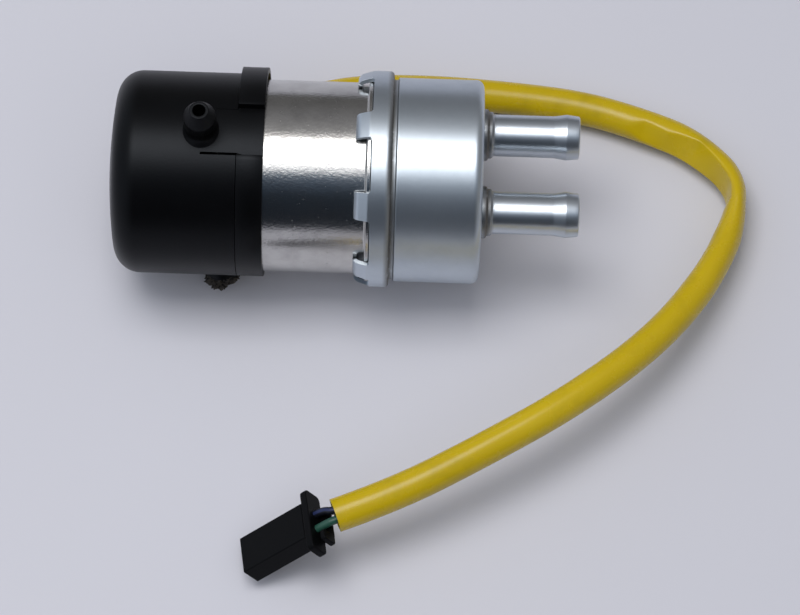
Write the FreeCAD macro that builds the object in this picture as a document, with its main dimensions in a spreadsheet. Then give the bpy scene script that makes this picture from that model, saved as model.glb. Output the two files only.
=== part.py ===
"""Diaphragm fuel pump with a contact breaker, two hose ports and a sleeved two-wire lead.

The pump's axis is X, with the ports towards +X. Z is up, through the vent nipple.
The origin is on the axis, in the middle of the bare can. Sizes are millimetres and degrees.
An angle around the axis counts from +Z towards +Y.
"""
import FreeCAD, Part
import math
import os

import Sketcher

Vector = FreeCAD.Vector
Rotation = FreeCAD.Rotation

# Driving sizes
SIZES = {
    # contact cover
    "cover_radius": 19.95,
    "cover_wall": 1.6,
    "cover_length": 25.5,
    "cover_crown": 2.0,
    "cover_corner": 5.0,
    "seam_place": -13.9,
    "tongue_half_angle": 13.5,
    "tongue_side_angle": 0.25,
    "tongue_wall": 0.8,
    "slit_width": 0.5,
    "slit_depth": 7.0,
    # vent nipple on the cover
    "nipple_place": -20.9,
    "nipple_bore": 1.2,
    "nipple_mouth": 1.85,
    "nipple_stem": 2.7,
    "nipple_foot": 3.7,
    "nipple_barb": 3.15,
    "nipple_barb_reach": 23.4,
    "nipple_barb_length": 2.5,
    "nipple_cone": 2.6,
    # filtered vent under the cover
    "filter_place": -17.3,
    "filter_angle": -142.0,
    "filter_spigot": 3.3,
    "filter_spigot_reach": 23.6,
    "filter_radius": 2.4,
    "filter_proud": 0.7,
    # contact base
    "base_rear": -15.7,
    "base_spigot": 3.6,
    "base_spigot_wall": 1.5,
    "rim_end": -8.8,
    "pad_radius": 21.25,
    "pad_wall": 1.0,
    "pad_start": 15.0,
    "pad_stop": 190.0,
    "pad_end_angle": 3.0,
    "outlet_y": 20.5,
    "outlet_z": -9.1,
    "outlet_radius": 4.5,
    "outlet_depth": 2.6,
    # can
    "can_rear": -11.6,
    "can_radius": 18.9,
    "can_wall": 0.8,
    "can_flange_width": 1.4,
    "can_flange": 0.9,
    "joint_place": 12.0,
    # valve housing
    "flange_clearance": 0.2,
    "ring_length": 3.9,
    "ring_corner": 1.0,
    "groove_width": 0.7,
    "groove_depth": 0.3,
    "housing_step": 1.2,
    "housing_end": 33.6,
    "housing_wall": 0.8,
    "housing_corner": 1.8,
    "housing_lip_width": 3.1,
    "tab_count": 8,
    "tab_angle": 15.5,
    "tab_reach": 3.1,
    "tab_turn": 5.0,
    # ports
    "port_spacing": 16.7,
    "port_rise": 4.2,
    "port_radius": 4.12,
    "port_bore": 3.1,
    "port_length": 19.1,
    "collar_radius": 5.1,
    "collar_length": 2.1,
    "collar_corner": 0.5,
    "bead_radius": 4.5,
    "bead_length": 5.2,
    "bead_rise": 2.0,
    "bead_land": 1.8,
    "lip_radius": 4.25,
    # solenoid
    "rear_pole": 1.6,
    "core_radius": 5.15,
    "core_face": -4.2,
    "core_tail_radius": 3.15,
    "core_tail": 3.0,
    "bobbin_end": 2.7,
    "bobbin_flange": 17.4,
    "bobbin_wall": 0.9,
    "winding_radius": 16.6,
    "guide_bore": 5.2,
    "guide_wall": 0.5,
    "front_pole": 1.8,
    "circlip_inner": 16.2,
    "circlip": 0.8,
    "armature_radius": 5.12,
    "armature_rear": 0.0,
    "armature_shoulder": 9.4,
    "armature_nose": 2.4,
    # plunger
    "rod_radius": 1.25,
    "stroke": 3.0,
    "cup_radius": 10.5,
    "cup": 0.8,
    "nut_radius": 2.3,
    "nut": 1.2,
    "spring_radius": 8.4,
    "spring_wire": 0.8,
    "diaphragm": 0.8,
    # valves
    "chamber_radius": 14.5,
    "chamber_floor": 15.3,
    "gasket": 0.5,
    "valve_body_end": 20.0,
    "divider": 2.0,
    "valve_pocket": 3.9,
    "valve_radius": 3.4,
    "valve_disc": 0.8,
    "valve_hole": 2.2,
    "valve_web": 1.4,
    "valve_spring_radius": 2.6,
    "valve_spring_wire": 0.4,
    "valve_retainer": 0.7,
    # contact breaker
    "plate_radius": 15.8,
    "plate": 1.0,
    "lead_window_angle": 24.0,
    "stud_radius": 2.4,
    "stud_height": 1.2,
    "screw_circle": 13.2,
    "screw_head": 1.9,
    "screw_head_height": 1.3,
    "screw_shank": 1.0,
    "screw_depth": 3.4,
    "cheek_inside": 5.2,
    "cheek_wall": 1.0,
    "cheek_top": 11.2,
    "cheek_bottom": -13.0,
    "cheek_reach": 27.4,
    "toggle_place": -25.0,
    "toggle_height": 9.0,
    "pin_radius": 0.8,
    "lever_hub": 1.7,
    "lever": 1.0,
    "lever_width": 6.8,
    "lever_tip": -2.5,
    "knob_radius": 2.8,
    "knob_waist": 1.7,
    "knob_collar": 0.8,
    "knob_gap": 2.7,
    "arm_place": -21.6,
    "arm_height": -9.6,
    "arm_length": 9.6,
    "arm": 0.8,
    "arm_width": 4.8,
    "arm_hub": 1.6,
    "contact_radius": 1.2,
    "contact_inset": 1.8,
    "contact": 1.4,
    "snap_radius": 1.0,
    "condenser_radius": 3.6,
    "condenser_length": 14.0,
    "condenser_side": 10.6,
    "clip_wall": 0.5,
    "clip_width": 5.0,
    # lead
    "sleeve_radius": 3.35,
    "sleeve_wall": 0.5,
    "wire_radius": 0.8,
    "wire_offset": 0.95,
    "wire_elbow": 1.7,
    "wire_entry": 9.5,
    "wire_channel": 2.0,
    "wire_straight": 1.8,
    # connector
    "plug_length": 15.3,
    "plug_width": 8.4,
    "plug_height": 4.4,
    "plug_flange": 1.3,
    "plug_upper_ear": 2.5,
    "plug_lower_ear": 2.7,
    "plug_latch_place": 2.85,
    "plug_latch_ear": 1.6,
    "plug_latch": 1.0,
    "plug_corner": 0.5,
    "plug_pitch": 3.6,
    "socket_width": 2.7,
    "socket_height": 2.4,
    "socket_depth": 12.0,
    "terminal_width": 2.0,
    "terminal_height": 1.5,
    "plug_x": 2.5,
    "plug_y": -69.1,
    "plug_z": -9.85,
    "plug_heading": 21.9,
    "plug_tilt": -33.2,
    "plug_roll": -22.5,
    # clearances
    "running_gap": 0.08,
    "seat_gap": 0.05,
    "loose_gap": 0.2,
}

# Route of the sleeve's centre, from the cord outlet round to its cut end. The first point
# takes its place from the outlet.
SLEEVE_ROUTE = [
    (-2.5, 20.5, -9.1),
    (7.9, 25.1, -12.1),
    (23.2, 27.9, -16.7),
    (39.8, 27.4, -17.6),
    (55.2, 25.7, -17.6),
    (68.1, 21.6, -17.3),
    (77.3, 17.3, -16.5),
    (86.1, 8.5, -15.5),
    (84.7, -2.6, -14.5),
    (78.2, -16.3, -11.5),
    (67.7, -30.4, -7.6),
    (51.9, -44.1, -4.7),
    (34.7, -54.8, -4.9),
    (18.5, -63.1, -6.3),
    (7.2, -67.3, -6.9),
]

doc = FreeCAD.newDocument("FuelPump")
sheet = doc.addObject("Spreadsheet::Sheet", "Sizes")
for row, (alias, number) in enumerate(SIZES.items(), start=1):
    sheet.set(f"A{row}", alias)
    sheet.set(f"B{row}", str(number))
    sheet.setAlias(f"B{row}", alias)
doc.recompute()


class Size:
    """A length or angle that knows its value and its formula in terms of the sheet."""

    def __init__(self, formula, value):
        self.formula = formula
        self.value = value

    def __float__(self):
        return self.value

    def __neg__(self):
        return Size(f"(-{self.formula})", -self.value)

    def __add__(self, other):
        other = as_size(other)
        return Size(f"({self.formula} + {other.formula})", self.value + other.value)

    def __sub__(self, other):
        other = as_size(other)
        return Size(f"({self.formula} - {other.formula})", self.value - other.value)

    def __mul__(self, other):
        other = as_size(other)
        return Size(f"({self.formula} * {other.formula})", self.value * other.value)

    def __truediv__(self, other):
        other = as_size(other)
        return Size(f"({self.formula} / {other.formula})", self.value / other.value)


def as_size(number):
    """Let plain numbers and sizes mix in one formula."""
    if isinstance(number, Size):
        return number
    return Size(f"({number})", float(number))


def sine(angle):
    """Sine of an angle in degrees."""
    return Size(f"sin({angle.formula})", math.sin(math.radians(angle.value)))


def cosine(angle):
    """Cosine of an angle in degrees."""
    return Size(f"cos({angle.formula})", math.cos(math.radians(angle.value)))


class SheetSizes:
    """Gives each named cell of the sheet as a size."""

    def __getattr__(self, alias):
        return Size(f"Sizes.{alias}", float(sheet.get(alias)))


size = SheetSizes()
ZERO = as_size(0)


def bind(item, name, value):
    """Bind one property of an object to a formula of sheet cells."""
    item.setExpression(name, as_size(value).formula)


def put(item, at, rotation=Rotation()):
    """Place an object, with each coordinate bound to the sheet."""
    item.Placement = FreeCAD.Placement(Vector(*(float(value) for value in at)), rotation)
    for axis, value in zip("xyz", at):
        bind(item, f"Placement.Base.{axis}", value)
    return item


ALONG_X = Rotation(Vector(0, 1, 0), 90)
ALONG_Y = Rotation(Vector(1, 0, 0), -90)
ALONG_Z = Rotation()

# A cutter runs this far past the face that it opens.
OVERSHOOT = 1.0


def drum(label, radius, start, end, centre=(ZERO, ZERO)):
    """A plain cylinder along X, from start to end, centred at a Y and a Z."""
    item = doc.addObject("Part::Cylinder", label)
    bind(item, "Radius", radius)
    bind(item, "Height", end - start)
    return put(item, (start, *centre), ALONG_X)


def post(label, radius, length, at, rotation=ALONG_Z, tip_radius=None):
    """A cylinder, or a cone with a tip radius, from a point along a turned Z."""
    if tip_radius is None:
        item = doc.addObject("Part::Cylinder", label)
        bind(item, "Radius", radius)
    else:
        item = doc.addObject("Part::Cone", label)
        bind(item, "Radius1", radius)
        bind(item, "Radius2", tip_radius)
    bind(item, "Height", length)
    return put(item, at, rotation)


def block(label, x, y, z):
    """A box given by its lower and upper limit along each axis."""
    item = doc.addObject("Part::Box", label)
    for name, (low, high) in zip(("Length", "Width", "Height"), (x, y, z)):
        bind(item, name, as_size(high) - low)
    return put(item, (as_size(x[0]), as_size(y[0]), as_size(z[0])))


def fused(label, items):
    """Join overlapping solids into one."""
    item = doc.addObject("Part::MultiFuse", label)
    item.Shapes = items
    item.Refine = True
    return item


def cut(label, base, tools):
    """Cut one or more tools from a solid."""
    item = doc.addObject("Part::Cut", label)
    item.Base = base
    item.Tool = tools[0] if len(tools) == 1 else fused(f"{label}_tools", tools)
    return item


def outline_sketch(body, name, outline, domes):
    """Closed outline on the body's XZ plane. A dome is an arc centred on the turning axis."""
    sketch = body.newObject("Sketcher::SketchObject", name)
    plane = next(item for item in body.Origin.OriginFeatures if item.Role == "XZ_Plane")
    sketch.AttachmentSupport = [(plane, "")]
    sketch.MapMode = "FlatFace"
    corners = [Vector(float(x), float(r), 0) for x, r in outline]
    ends = []
    for index, here in enumerate(corners):
        there = corners[(index + 1) % len(corners)]
        if index not in domes:
            sketch.addGeometry(Part.LineSegment(here, there))
            ends.append((1, 2))
            continue
        middle = (here.dot(here) - there.dot(there)) / (2 * (here.x - there.x))
        centre = Vector(middle, 0, 0)
        first = math.atan2(here.y, here.x - middle)
        last = math.atan2(there.y, there.x - middle)
        circle = Part.Circle(centre, Vector(0, 0, 1), here.distanceToPoint(centre))
        sketch.addGeometry(Part.ArcOfCircle(circle, min(first, last), max(first, last)))
        sketch.addConstraint(Sketcher.Constraint("PointOnObject", index, 3, -1))
        ends.append((1, 2) if first < last else (2, 1))
    for index, (x, r) in enumerate(outline):
        start = ends[index][0]
        before = index - 1 if index else len(outline) - 1
        sketch.addConstraint(Sketcher.Constraint("Coincident", before, ends[before][1], index, start))
        number = sketch.addConstraint(
            Sketcher.Constraint("DistanceX", -1, 1, index, start, float(x)))
        bind(sketch, f"Constraints[{number}]", x)
        if as_size(r).formula == ZERO.formula:
            sketch.addConstraint(Sketcher.Constraint("PointOnObject", index, start, -1))
            continue
        number = sketch.addConstraint(
            Sketcher.Constraint("DistanceY", -1, 1, index, start, float(r)))
        bind(sketch, f"Constraints[{number}]", r)
    return sketch


def turning(body, name, outline, domes=(), angle=None):
    """Add a turned feature to a body: all the way round, or an angle centred on the sketch."""
    sketch = outline_sketch(body, f"{name}_outline", outline, domes)
    feature = body.newObject("PartDesign::Revolution", name)
    feature.Profile = sketch
    feature.ReferenceAxis = (sketch, ["H_Axis"])
    if angle is None:
        feature.Angle = 360
    else:
        feature.Midplane = True
        bind(feature, "Angle", angle)
    return feature


def turned(label, outline, domes=(), angle=None, facing=None, centre=None):
    """A turned body about X, or a sector of one that faces an angle around the axis."""
    body = doc.addObject("PartDesign::Body", label)
    turning(body, f"{label}_turning", outline, domes, angle)
    if facing is not None:
        body.Placement.Rotation = Rotation(Vector(1, 0, 0), -float(facing))
        bind(body, "Placement.Rotation.Angle", -facing)
    if centre is not None:
        put(body, (ZERO, *centre))
    return body


def sleeve_shape(label, inner, outer, start, end, **more):
    """A turned tube with square ends."""
    return turned(label, [(start, inner), (start, outer), (end, outer), (end, inner)], **more)


def round_rings(body, radius, rings):
    """Round the circular edges of a body that lie at each given X and radius."""
    doc.recompute()
    base = body.Tip
    names = []
    for number, edge in enumerate(base.Shape.Edges, start=1):
        if edge.Degenerated or not isinstance(edge.Curve, Part.Circle):
            continue
        for x, r in rings:
            place = abs(edge.Curve.Center.x - float(x))
            if place < 0.01 and abs(edge.Curve.Radius - float(r)) < 0.01:
                names.append(f"Edge{number}")
    feature = body.newObject("PartDesign::Fillet", f"{base.Name}_round")
    feature.Base = (base, names)
    bind(feature, "Radius", radius)


def make_cover():
    """Black cap with a snap tongue, a barbed vent nipple and a spigot for the filter."""
    s = size
    crown = s.seam_place - s.cover_length
    inner = s.cover_radius - s.cover_wall
    shell = turned("cover_shell", [
        (crown, ZERO),
        (crown + s.cover_crown, s.cover_radius),
        (s.seam_place, s.cover_radius),
        (s.seam_place, inner),
        (crown + s.cover_crown + s.cover_wall, inner),
        (crown + s.cover_wall, ZERO),
    ], domes=(0, 4))
    round_rings(shell, s.cover_corner, [(crown + s.cover_crown, s.cover_radius)])
    inside = crown + s.cover_crown + s.cover_wall
    round_rings(shell, s.cover_corner - s.cover_wall, [(inside, inner)])
    tongue = sleeve_shape(
        "cover_tongue", s.cover_radius - s.tongue_wall, s.cover_radius,
        s.seam_place - s.cover_wall, s.rim_end, angle=s.tongue_half_angle * 2)
    base = inner + s.cover_wall / 2
    nipple_at = (s.nipple_place, ZERO, base)
    barb_end = s.nipple_barb_reach + s.nipple_barb_length
    nipple = [
        post("nipple_flare", s.nipple_foot, s.cover_wall, nipple_at, tip_radius=s.nipple_stem),
        post("nipple_stem", s.nipple_stem, s.nipple_barb_reach - base, nipple_at),
        post("nipple_barb", s.nipple_barb, s.nipple_barb_length,
             (s.nipple_place, ZERO, s.nipple_barb_reach)),
        post("nipple_cone", s.nipple_barb, s.nipple_cone, (s.nipple_place, ZERO, barb_end),
             tip_radius=s.nipple_mouth),
    ]
    spigot = radial_post("filter_spigot", s.filter_spigot, inner + s.cover_wall / 2,
                         s.filter_spigot_reach)
    bore_start = inner - s.cover_wall
    tools = [
        post("nipple_bore", s.nipple_bore, barb_end + s.nipple_cone - bore_start + OVERSHOOT,
             (s.nipple_place, ZERO, bore_start)),
        radial_post("filter_bore", s.filter_radius + s.seat_gap, bore_start,
                    s.filter_spigot_reach + OVERSHOOT),
    ]
    for side in (-1, 1):
        tools.append(tongue_slit(side))
    cut("contact_cover", fused("cover_solid", [shell, tongue, *nipple, spigot]), tools)


def tongue_slit(side):
    """Cutter for the slit on one side of the cover's tongue."""
    s = size
    slit = doc.addObject("Part::Box", f"slit_{'lower' if side < 0 else 'upper'}")
    start = s.cover_radius - s.cover_wall * 2
    bind(slit, "Length", s.slit_depth + s.slit_width)
    bind(slit, "Width", s.slit_width)
    bind(slit, "Height", s.cover_wall * 2 + OVERSHOOT)
    angle = s.tongue_half_angle * side
    half = s.slit_width / 2
    corner = (s.seam_place - s.slit_depth,
              sine(angle) * start - cosine(angle) * half,
              cosine(angle) * start + sine(angle) * half)
    put(slit, corner, Rotation(Vector(1, 0, 0), -float(angle)))
    bind(slit, "Placement.Rotation.Angle", -angle)
    return slit


def radial_post(label, radius, start, end):
    """A cylinder that stands out from the pump's axis in the filter's direction."""
    s = size
    at = (s.filter_place, sine(s.filter_angle) * start, cosine(s.filter_angle) * start)
    item = post(label, radius, end - start, at,
                Rotation(Vector(1, 0, 0), -float(s.filter_angle)))
    bind(item, "Placement.Rotation.Angle", -s.filter_angle)
    return item


def make_filter():
    """Open-cell plug in the lower vent."""
    s = size
    radial_post("vent_filter", s.filter_radius, s.cover_radius - s.cover_wall + s.loose_gap,
                s.filter_spigot_reach + s.filter_proud)


def make_base():
    """Black base between the can and the cover, with the rim, the pad and the cord outlet."""
    s = size
    spigot_outer = s.cover_radius - s.cover_wall - s.seat_gap * 2
    spigot_inner = spigot_outer - s.base_spigot_wall
    bore = s.core_tail_radius + s.seat_gap
    can_seat = s.can_radius + s.seat_gap
    body = turned("base_body", [
        (s.base_rear, bore),
        (s.base_rear, spigot_inner),
        (s.seam_place - s.base_spigot, spigot_inner),
        (s.seam_place - s.base_spigot, spigot_outer),
        (s.seam_place, spigot_outer),
        (s.seam_place, s.cover_radius),
        (s.rim_end, s.cover_radius),
        (s.rim_end, can_seat),
        (s.can_rear, can_seat),
        (s.can_rear, bore),
    ])
    pad_angle = s.pad_stop - s.pad_start
    pad_facing = (s.pad_start + s.pad_stop) / 2
    pad = sleeve_shape("base_pad", s.cover_radius - s.pad_wall, s.pad_radius, s.seam_place,
                       s.rim_end, angle=pad_angle, facing=pad_facing)
    outlet = (s.outlet_y, s.outlet_z)
    boss = drum("outlet_boss", s.outlet_radius, s.seam_place, s.rim_end, outlet)
    studs = []
    for number, angle in enumerate(SCREW_ANGLES, start=1):
        place = screw_centre(angle)
        studs.append(drum(f"stud_{number}", s.stud_radius, s.base_rear - s.stud_height,
                          s.base_rear + s.stud_height, place))
    open_end = s.rim_end + OVERSHOOT
    pad_hollow = sleeve_shape(
        "pad_hollow", can_seat, s.pad_radius - s.pad_wall, s.can_rear, open_end,
        angle=pad_angle - s.pad_end_angle * 2, facing=pad_facing)
    solid = fused("base_solid", [
        cut("base_without_hollow", fused("base_round", [body, pad]), [pad_hollow]),
        cut("outlet_solid", boss, [drum("can_space", can_seat, s.can_rear, open_end)]),
        *studs,
    ])
    sleeve_start = s.rim_end - s.outlet_depth
    tools = [
        drum("outlet_bore", s.sleeve_radius + s.seat_gap, sleeve_start, open_end, outlet),
        lead_channel(),
        sleeve_shape("tongue_notch", can_seat, s.pad_radius + OVERSHOOT,
                     s.seam_place - s.seat_gap, open_end,
                     angle=(s.tongue_half_angle + s.tongue_side_angle) * 2),
    ]
    for number, angle in enumerate(SCREW_ANGLES, start=1):
        start = s.base_rear - s.stud_height * 2
        tools.append(drum(f"pilot_{number}", s.screw_shank + s.seat_gap, start,
                          s.base_rear - s.stud_height + s.screw_depth, screw_centre(angle)))
    cut("contact_base", solid, tools)


def outlet_angle():
    """Angle of the cord outlet around the pump's axis, in degrees from +Y towards +Z."""
    return math.degrees(math.atan2(float(size.outlet_z), float(size.outlet_y)))


def lead_channel():
    """Slot in the base that takes the two wires from the cord outlet to the inside."""
    s = size
    depth = s.wire_channel
    half = s.wire_offset + s.wire_radius + s.loose_gap
    outward = s.wire_radius + s.loose_gap
    item = doc.addObject("Part::Box", "lead_channel")
    bind(item, "Length", depth + s.wire_radius)
    bind(item, "Width", s.wire_entry + outward * 2)
    bind(item, "Height", half * 2)
    swing = Rotation(Vector(1, 0, 0), outlet_angle())
    corner = swing.multVec(Vector(0, -float(s.wire_entry + outward), -float(half)))
    corner.x = float(s.rim_end - s.outlet_depth - depth)
    corner.y += float(s.outlet_y)
    corner.z += float(s.outlet_z)
    item.Placement = FreeCAD.Placement(corner, swing)
    return item


SCREW_ANGLES = (-60, -120, 45)


def screw_centre(angle):
    """Y and Z of a breaker screw that stands at an angle around the pump's axis."""
    turn = as_size(angle)
    return (sine(turn) * size.screw_circle, cosine(turn) * size.screw_circle)


def make_can():
    """Drawn can with a turned-out flange at the joint and a hole for the core's tail."""
    s = size
    inner = s.can_radius - s.can_wall
    body = turned("pump_can", [
        (s.can_rear, s.core_tail_radius + s.seat_gap),
        (s.can_rear, s.can_radius),
        (s.joint_place - s.can_flange, s.can_radius),
        (s.joint_place - s.can_flange, flange_radius()),
        (s.joint_place, flange_radius()),
        (s.joint_place, inner),
        (s.can_rear + s.can_wall, inner),
        (s.can_rear + s.can_wall, s.core_tail_radius + s.seat_gap),
    ])
    round_rings(body, s.can_wall, [(s.can_rear, s.can_radius)])


def flange_radius():
    """Outer radius of the can's flange."""
    return size.can_radius + size.can_flange_width


def ring_radius():
    """Outer radius of the crimped ring, which clears the can's flange."""
    return flange_radius() + size.flange_clearance + size.housing_wall


def housing_radius():
    """Outer radius of the housing in front of its ring."""
    return ring_radius() - size.housing_step


def housing_mouth():
    """Radius of the opening inside the housing's turned-in front lip."""
    return housing_radius() - size.housing_lip_width


def make_housing():
    """Pressed housing for the valves, crimped over the joint by a ring of tabs."""
    s = size
    wall = s.housing_wall
    ring = ring_radius()
    outer = housing_radius()
    ring_end = s.joint_place + s.ring_length
    groove_end = ring_end + s.groove_width
    groove = outer - s.groove_depth
    ring_inner = ring - wall
    inner = outer - wall
    body = doc.addObject("PartDesign::Body", "valve_housing")
    turning(body, "housing_turning", [
        (s.joint_place, ring_inner),
        (s.joint_place, ring),
        (ring_end, ring),
        (ring_end, groove),
        (groove_end, groove),
        (groove_end, outer),
        (s.housing_end, outer),
        (s.housing_end, housing_mouth()),
        (s.housing_end - wall, housing_mouth()),
        (s.housing_end - wall, inner),
        (groove_end, inner),
        (groove_end, groove - wall),
        (ring_end - wall, groove - wall),
        (ring_end - wall, ring_inner),
    ])
    round_rings(body, s.ring_corner, [(ring_end, ring)])
    round_rings(body, s.housing_corner, [(s.housing_end, outer)])
    flange_rear = s.joint_place - s.can_flange - s.seat_gap
    tab = turning(body, "tab", [
        (s.joint_place + s.seat_gap, ring_inner),
        (s.joint_place + s.seat_gap, ring),
        (flange_rear, ring),
        (s.joint_place - s.tab_reach + wall / 2, ring - s.can_flange_width / 2 - wall / 4),
        (s.joint_place - s.tab_reach, s.can_radius + wall),
        (s.joint_place - s.tab_reach, s.can_radius + s.seat_gap * 2),
        (s.joint_place - s.tab_reach + wall, s.can_radius + s.seat_gap * 2),
        (flange_rear, flange_radius() - wall / 2),
        (flange_rear, ring_inner),
    ], angle=s.tab_angle)
    doc.recompute()
    pattern = body.newObject("PartDesign::PolarPattern", "tabs")
    pattern.Originals = [tab]
    axis = next(item for item in body.Origin.OriginFeatures if item.Role == "X_Axis")
    pattern.Axis = (axis, [""])
    pattern.Angle = 360
    bind(pattern, "Occurrences", s.tab_count)
    body.Tip = pattern
    body.Placement.Rotation = Rotation(Vector(1, 0, 0), -float(s.tab_turn))
    bind(body, "Placement.Rotation.Angle", -s.tab_turn)

PORT_CENTRES = [
    ("inlet", (size.port_spacing / 2, size.port_rise)),
    ("outlet", (-size.port_spacing / 2, size.port_rise)),
]


def make_port_plate():
    """Plate that carries both ports, set flush inside the housing's lip."""
    s = size
    rear = s.housing_end - s.housing_wall
    plate = drum("plate_blank", housing_mouth() - s.seat_gap, rear, s.housing_end)
    holes = []
    for name, centre in PORT_CENTRES:
        holes.append(drum(f"{name}_hole", s.port_radius + s.seat_gap, rear - OVERSHOOT,
                          s.housing_end + OVERSHOOT, centre))
    cut("port_plate", plate, holes)


def make_ports():
    """Hose ports: a flared root behind the housing, a collar, the tube and its bead."""
    s = size
    root = s.housing_end - s.housing_wall
    collar_end = s.housing_end + s.collar_length
    end = s.housing_end + s.port_length
    bead = end - s.bead_length
    land = bead + s.bead_rise
    for name, centre in PORT_CENTRES:
        body = turned(f"{name}_port", [
            (root - s.housing_wall, s.port_bore),
            (root - s.housing_wall, s.collar_radius),
            (root, s.collar_radius),
            (root, s.port_radius),
            (s.housing_end, s.port_radius),
            (s.housing_end, s.collar_radius),
            (collar_end, s.collar_radius),
            (collar_end, s.port_radius),
            (bead, s.port_radius),
            (land, s.bead_radius),
            (land + s.bead_land, s.bead_radius),
            (end, s.lip_radius),
            (end, s.port_bore),
        ], centre=centre)
        round_rings(body, s.collar_corner, [(collar_end, s.collar_radius)])


def make_solenoid():
    """Pole plates, core, bobbin, winding and guide tube inside the can."""
    s = size
    can_inner = s.can_radius - s.can_wall
    plate_radius = can_inner - s.seat_gap
    tail_fit = s.core_tail_radius + s.seat_gap
    rear = s.can_rear + s.can_wall
    rear_face = rear + s.rear_pole
    rod_bore = s.rod_radius + s.running_gap
    sleeve_shape("rear_pole_plate", tail_fit, plate_radius, rear, rear_face)
    turned("fixed_core", [
        (rear - s.core_tail, rod_bore),
        (rear - s.core_tail, s.core_tail_radius),
        (rear_face, s.core_tail_radius),
        (rear_face, s.core_radius),
        (s.core_face, s.core_radius),
        (s.core_face, rod_bore),
    ])
    guide_outer = s.guide_bore + s.guide_wall
    front_face = s.bobbin_end + s.front_pole
    sleeve_shape("guide_tube", s.guide_bore, guide_outer, rear_face, front_face)
    barrel = guide_outer + s.seat_gap + s.bobbin_wall
    turned("coil_bobbin", [
        (rear_face, guide_outer + s.seat_gap),
        (rear_face, s.bobbin_flange),
        (rear_face + s.bobbin_wall, s.bobbin_flange),
        (rear_face + s.bobbin_wall, barrel),
        (s.bobbin_end - s.bobbin_wall, barrel),
        (s.bobbin_end - s.bobbin_wall, s.bobbin_flange),
        (s.bobbin_end, s.bobbin_flange),
        (s.bobbin_end, guide_outer + s.seat_gap),
    ])
    sleeve_shape("coil_winding", barrel + s.seat_gap, s.winding_radius,
                 rear_face + s.bobbin_wall + s.seat_gap, s.bobbin_end - s.bobbin_wall - s.seat_gap)
    sleeve_shape("front_pole_plate", guide_outer + s.seat_gap, plate_radius, s.bobbin_end,
                 front_face)
    sleeve_shape("pole_circlip", s.circlip_inner, plate_radius, front_face,
                 front_face + s.circlip)


def make_plunger():
    """Armature, rod, diaphragm and cups, the nut and the spring, at the end of the delivery."""
    s = size
    rod_fit = s.rod_radius + s.seat_gap
    rear_cup = s.joint_place - s.cup
    front_cup = s.joint_place + s.diaphragm
    turned("armature", [
        (s.armature_rear, rod_fit),
        (s.armature_rear, s.armature_radius),
        (s.armature_shoulder, s.armature_radius),
        (s.armature_shoulder, s.armature_nose),
        (rear_cup, s.armature_nose),
        (rear_cup, rod_fit),
    ])
    sleeve_shape("rear_cup", rod_fit, s.cup_radius, rear_cup, s.joint_place)
    sleeve_shape("diaphragm", rod_fit, flange_radius(), s.joint_place, front_cup)
    sleeve_shape("front_cup", rod_fit, s.cup_radius, front_cup, front_cup + s.cup)
    nut_face = front_cup + s.cup
    sleeve_shape("rod_nut", rod_fit, s.nut_radius, nut_face, nut_face + s.nut)
    drum("push_rod", s.rod_radius, knob_rear(), nut_face + s.nut)
    front_face = s.bobbin_end + s.front_pole
    sleeve_shape("return_spring", s.spring_radius - s.spring_wire, s.spring_radius,
                 front_face + s.seat_gap, rear_cup - s.seat_gap)


def knob_rear():
    """Rear end of the rod's knob: its gap is centred half a stroke in front of the toggle."""
    s = size
    return s.toggle_place + s.stroke / 2 - s.knob_gap / 2 - s.knob_collar


def make_knob():
    """Spool on the end of the rod that carries the toggle's fork."""
    s = size
    rear = knob_rear()
    waist = rear + s.knob_collar
    front = waist + s.knob_gap
    rod_fit = s.rod_radius + s.seat_gap
    turned("rod_knob", [
        (rear, rod_fit),
        (rear, s.knob_radius),
        (waist, s.knob_radius),
        (waist, s.knob_waist),
        (front, s.knob_waist),
        (front, s.knob_radius),
        (front + s.knob_collar, s.knob_radius),
        (front + s.knob_collar, rod_fit),
    ])


def make_valves():
    """Valve body with one spring-loaded disc that opens inward and one that opens outward."""
    s = size
    front = s.joint_place + s.diaphragm
    flange_end = s.joint_place + s.ring_length - s.housing_wall - s.gasket
    outer = flange_radius()
    inner = housing_radius() - s.groove_depth - s.housing_wall - s.seat_gap * 2
    sleeve_shape("body_gasket", inner + s.seat_gap, outer, flange_end, flange_end + s.gasket)
    body = turned("valve_block", [
        (front, s.chamber_radius),
        (front, outer),
        (flange_end, outer),
        (flange_end, inner),
        (s.valve_body_end, inner),
        (s.valve_body_end, ZERO),
        (s.chamber_floor, ZERO),
        (s.chamber_floor, s.chamber_radius),
    ])
    divider_end = s.housing_end - s.housing_wall - s.seat_gap
    divider = doc.addObject("Part::MultiCommon", "divider")
    divider.Shapes = [
        block("divider_block", (s.valve_body_end - s.gasket, divider_end),
              (-s.divider / 2, s.divider / 2), (-inner, inner)),
        drum("divider_round", inner - s.housing_corner, s.valve_body_end - s.gasket * 2,
             divider_end + OVERSHOOT),
    ]
    tools = []
    for name, centre in PORT_CENTRES:
        seat, mouth = valve_seat(name)
        tools.append(drum(f"{name}_pocket", s.valve_pocket, *sorted((seat, mouth), key=float),
                          centre))
        tools.append(drum(f"{name}_hole_in_seat", s.valve_hole, s.chamber_floor - OVERSHOOT,
                          s.valve_body_end + OVERSHOOT, centre))
        make_valve(name, centre, seat, mouth)
    cut("valve_body", fused("valve_solid", [body, divider]), tools)


def valve_seat(name):
    """X of a valve's seat and of the open end of its pocket."""
    s = size
    if name == "inlet":
        return s.valve_body_end - s.valve_web, s.chamber_floor
    return s.chamber_floor + s.valve_web, s.valve_body_end


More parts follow.
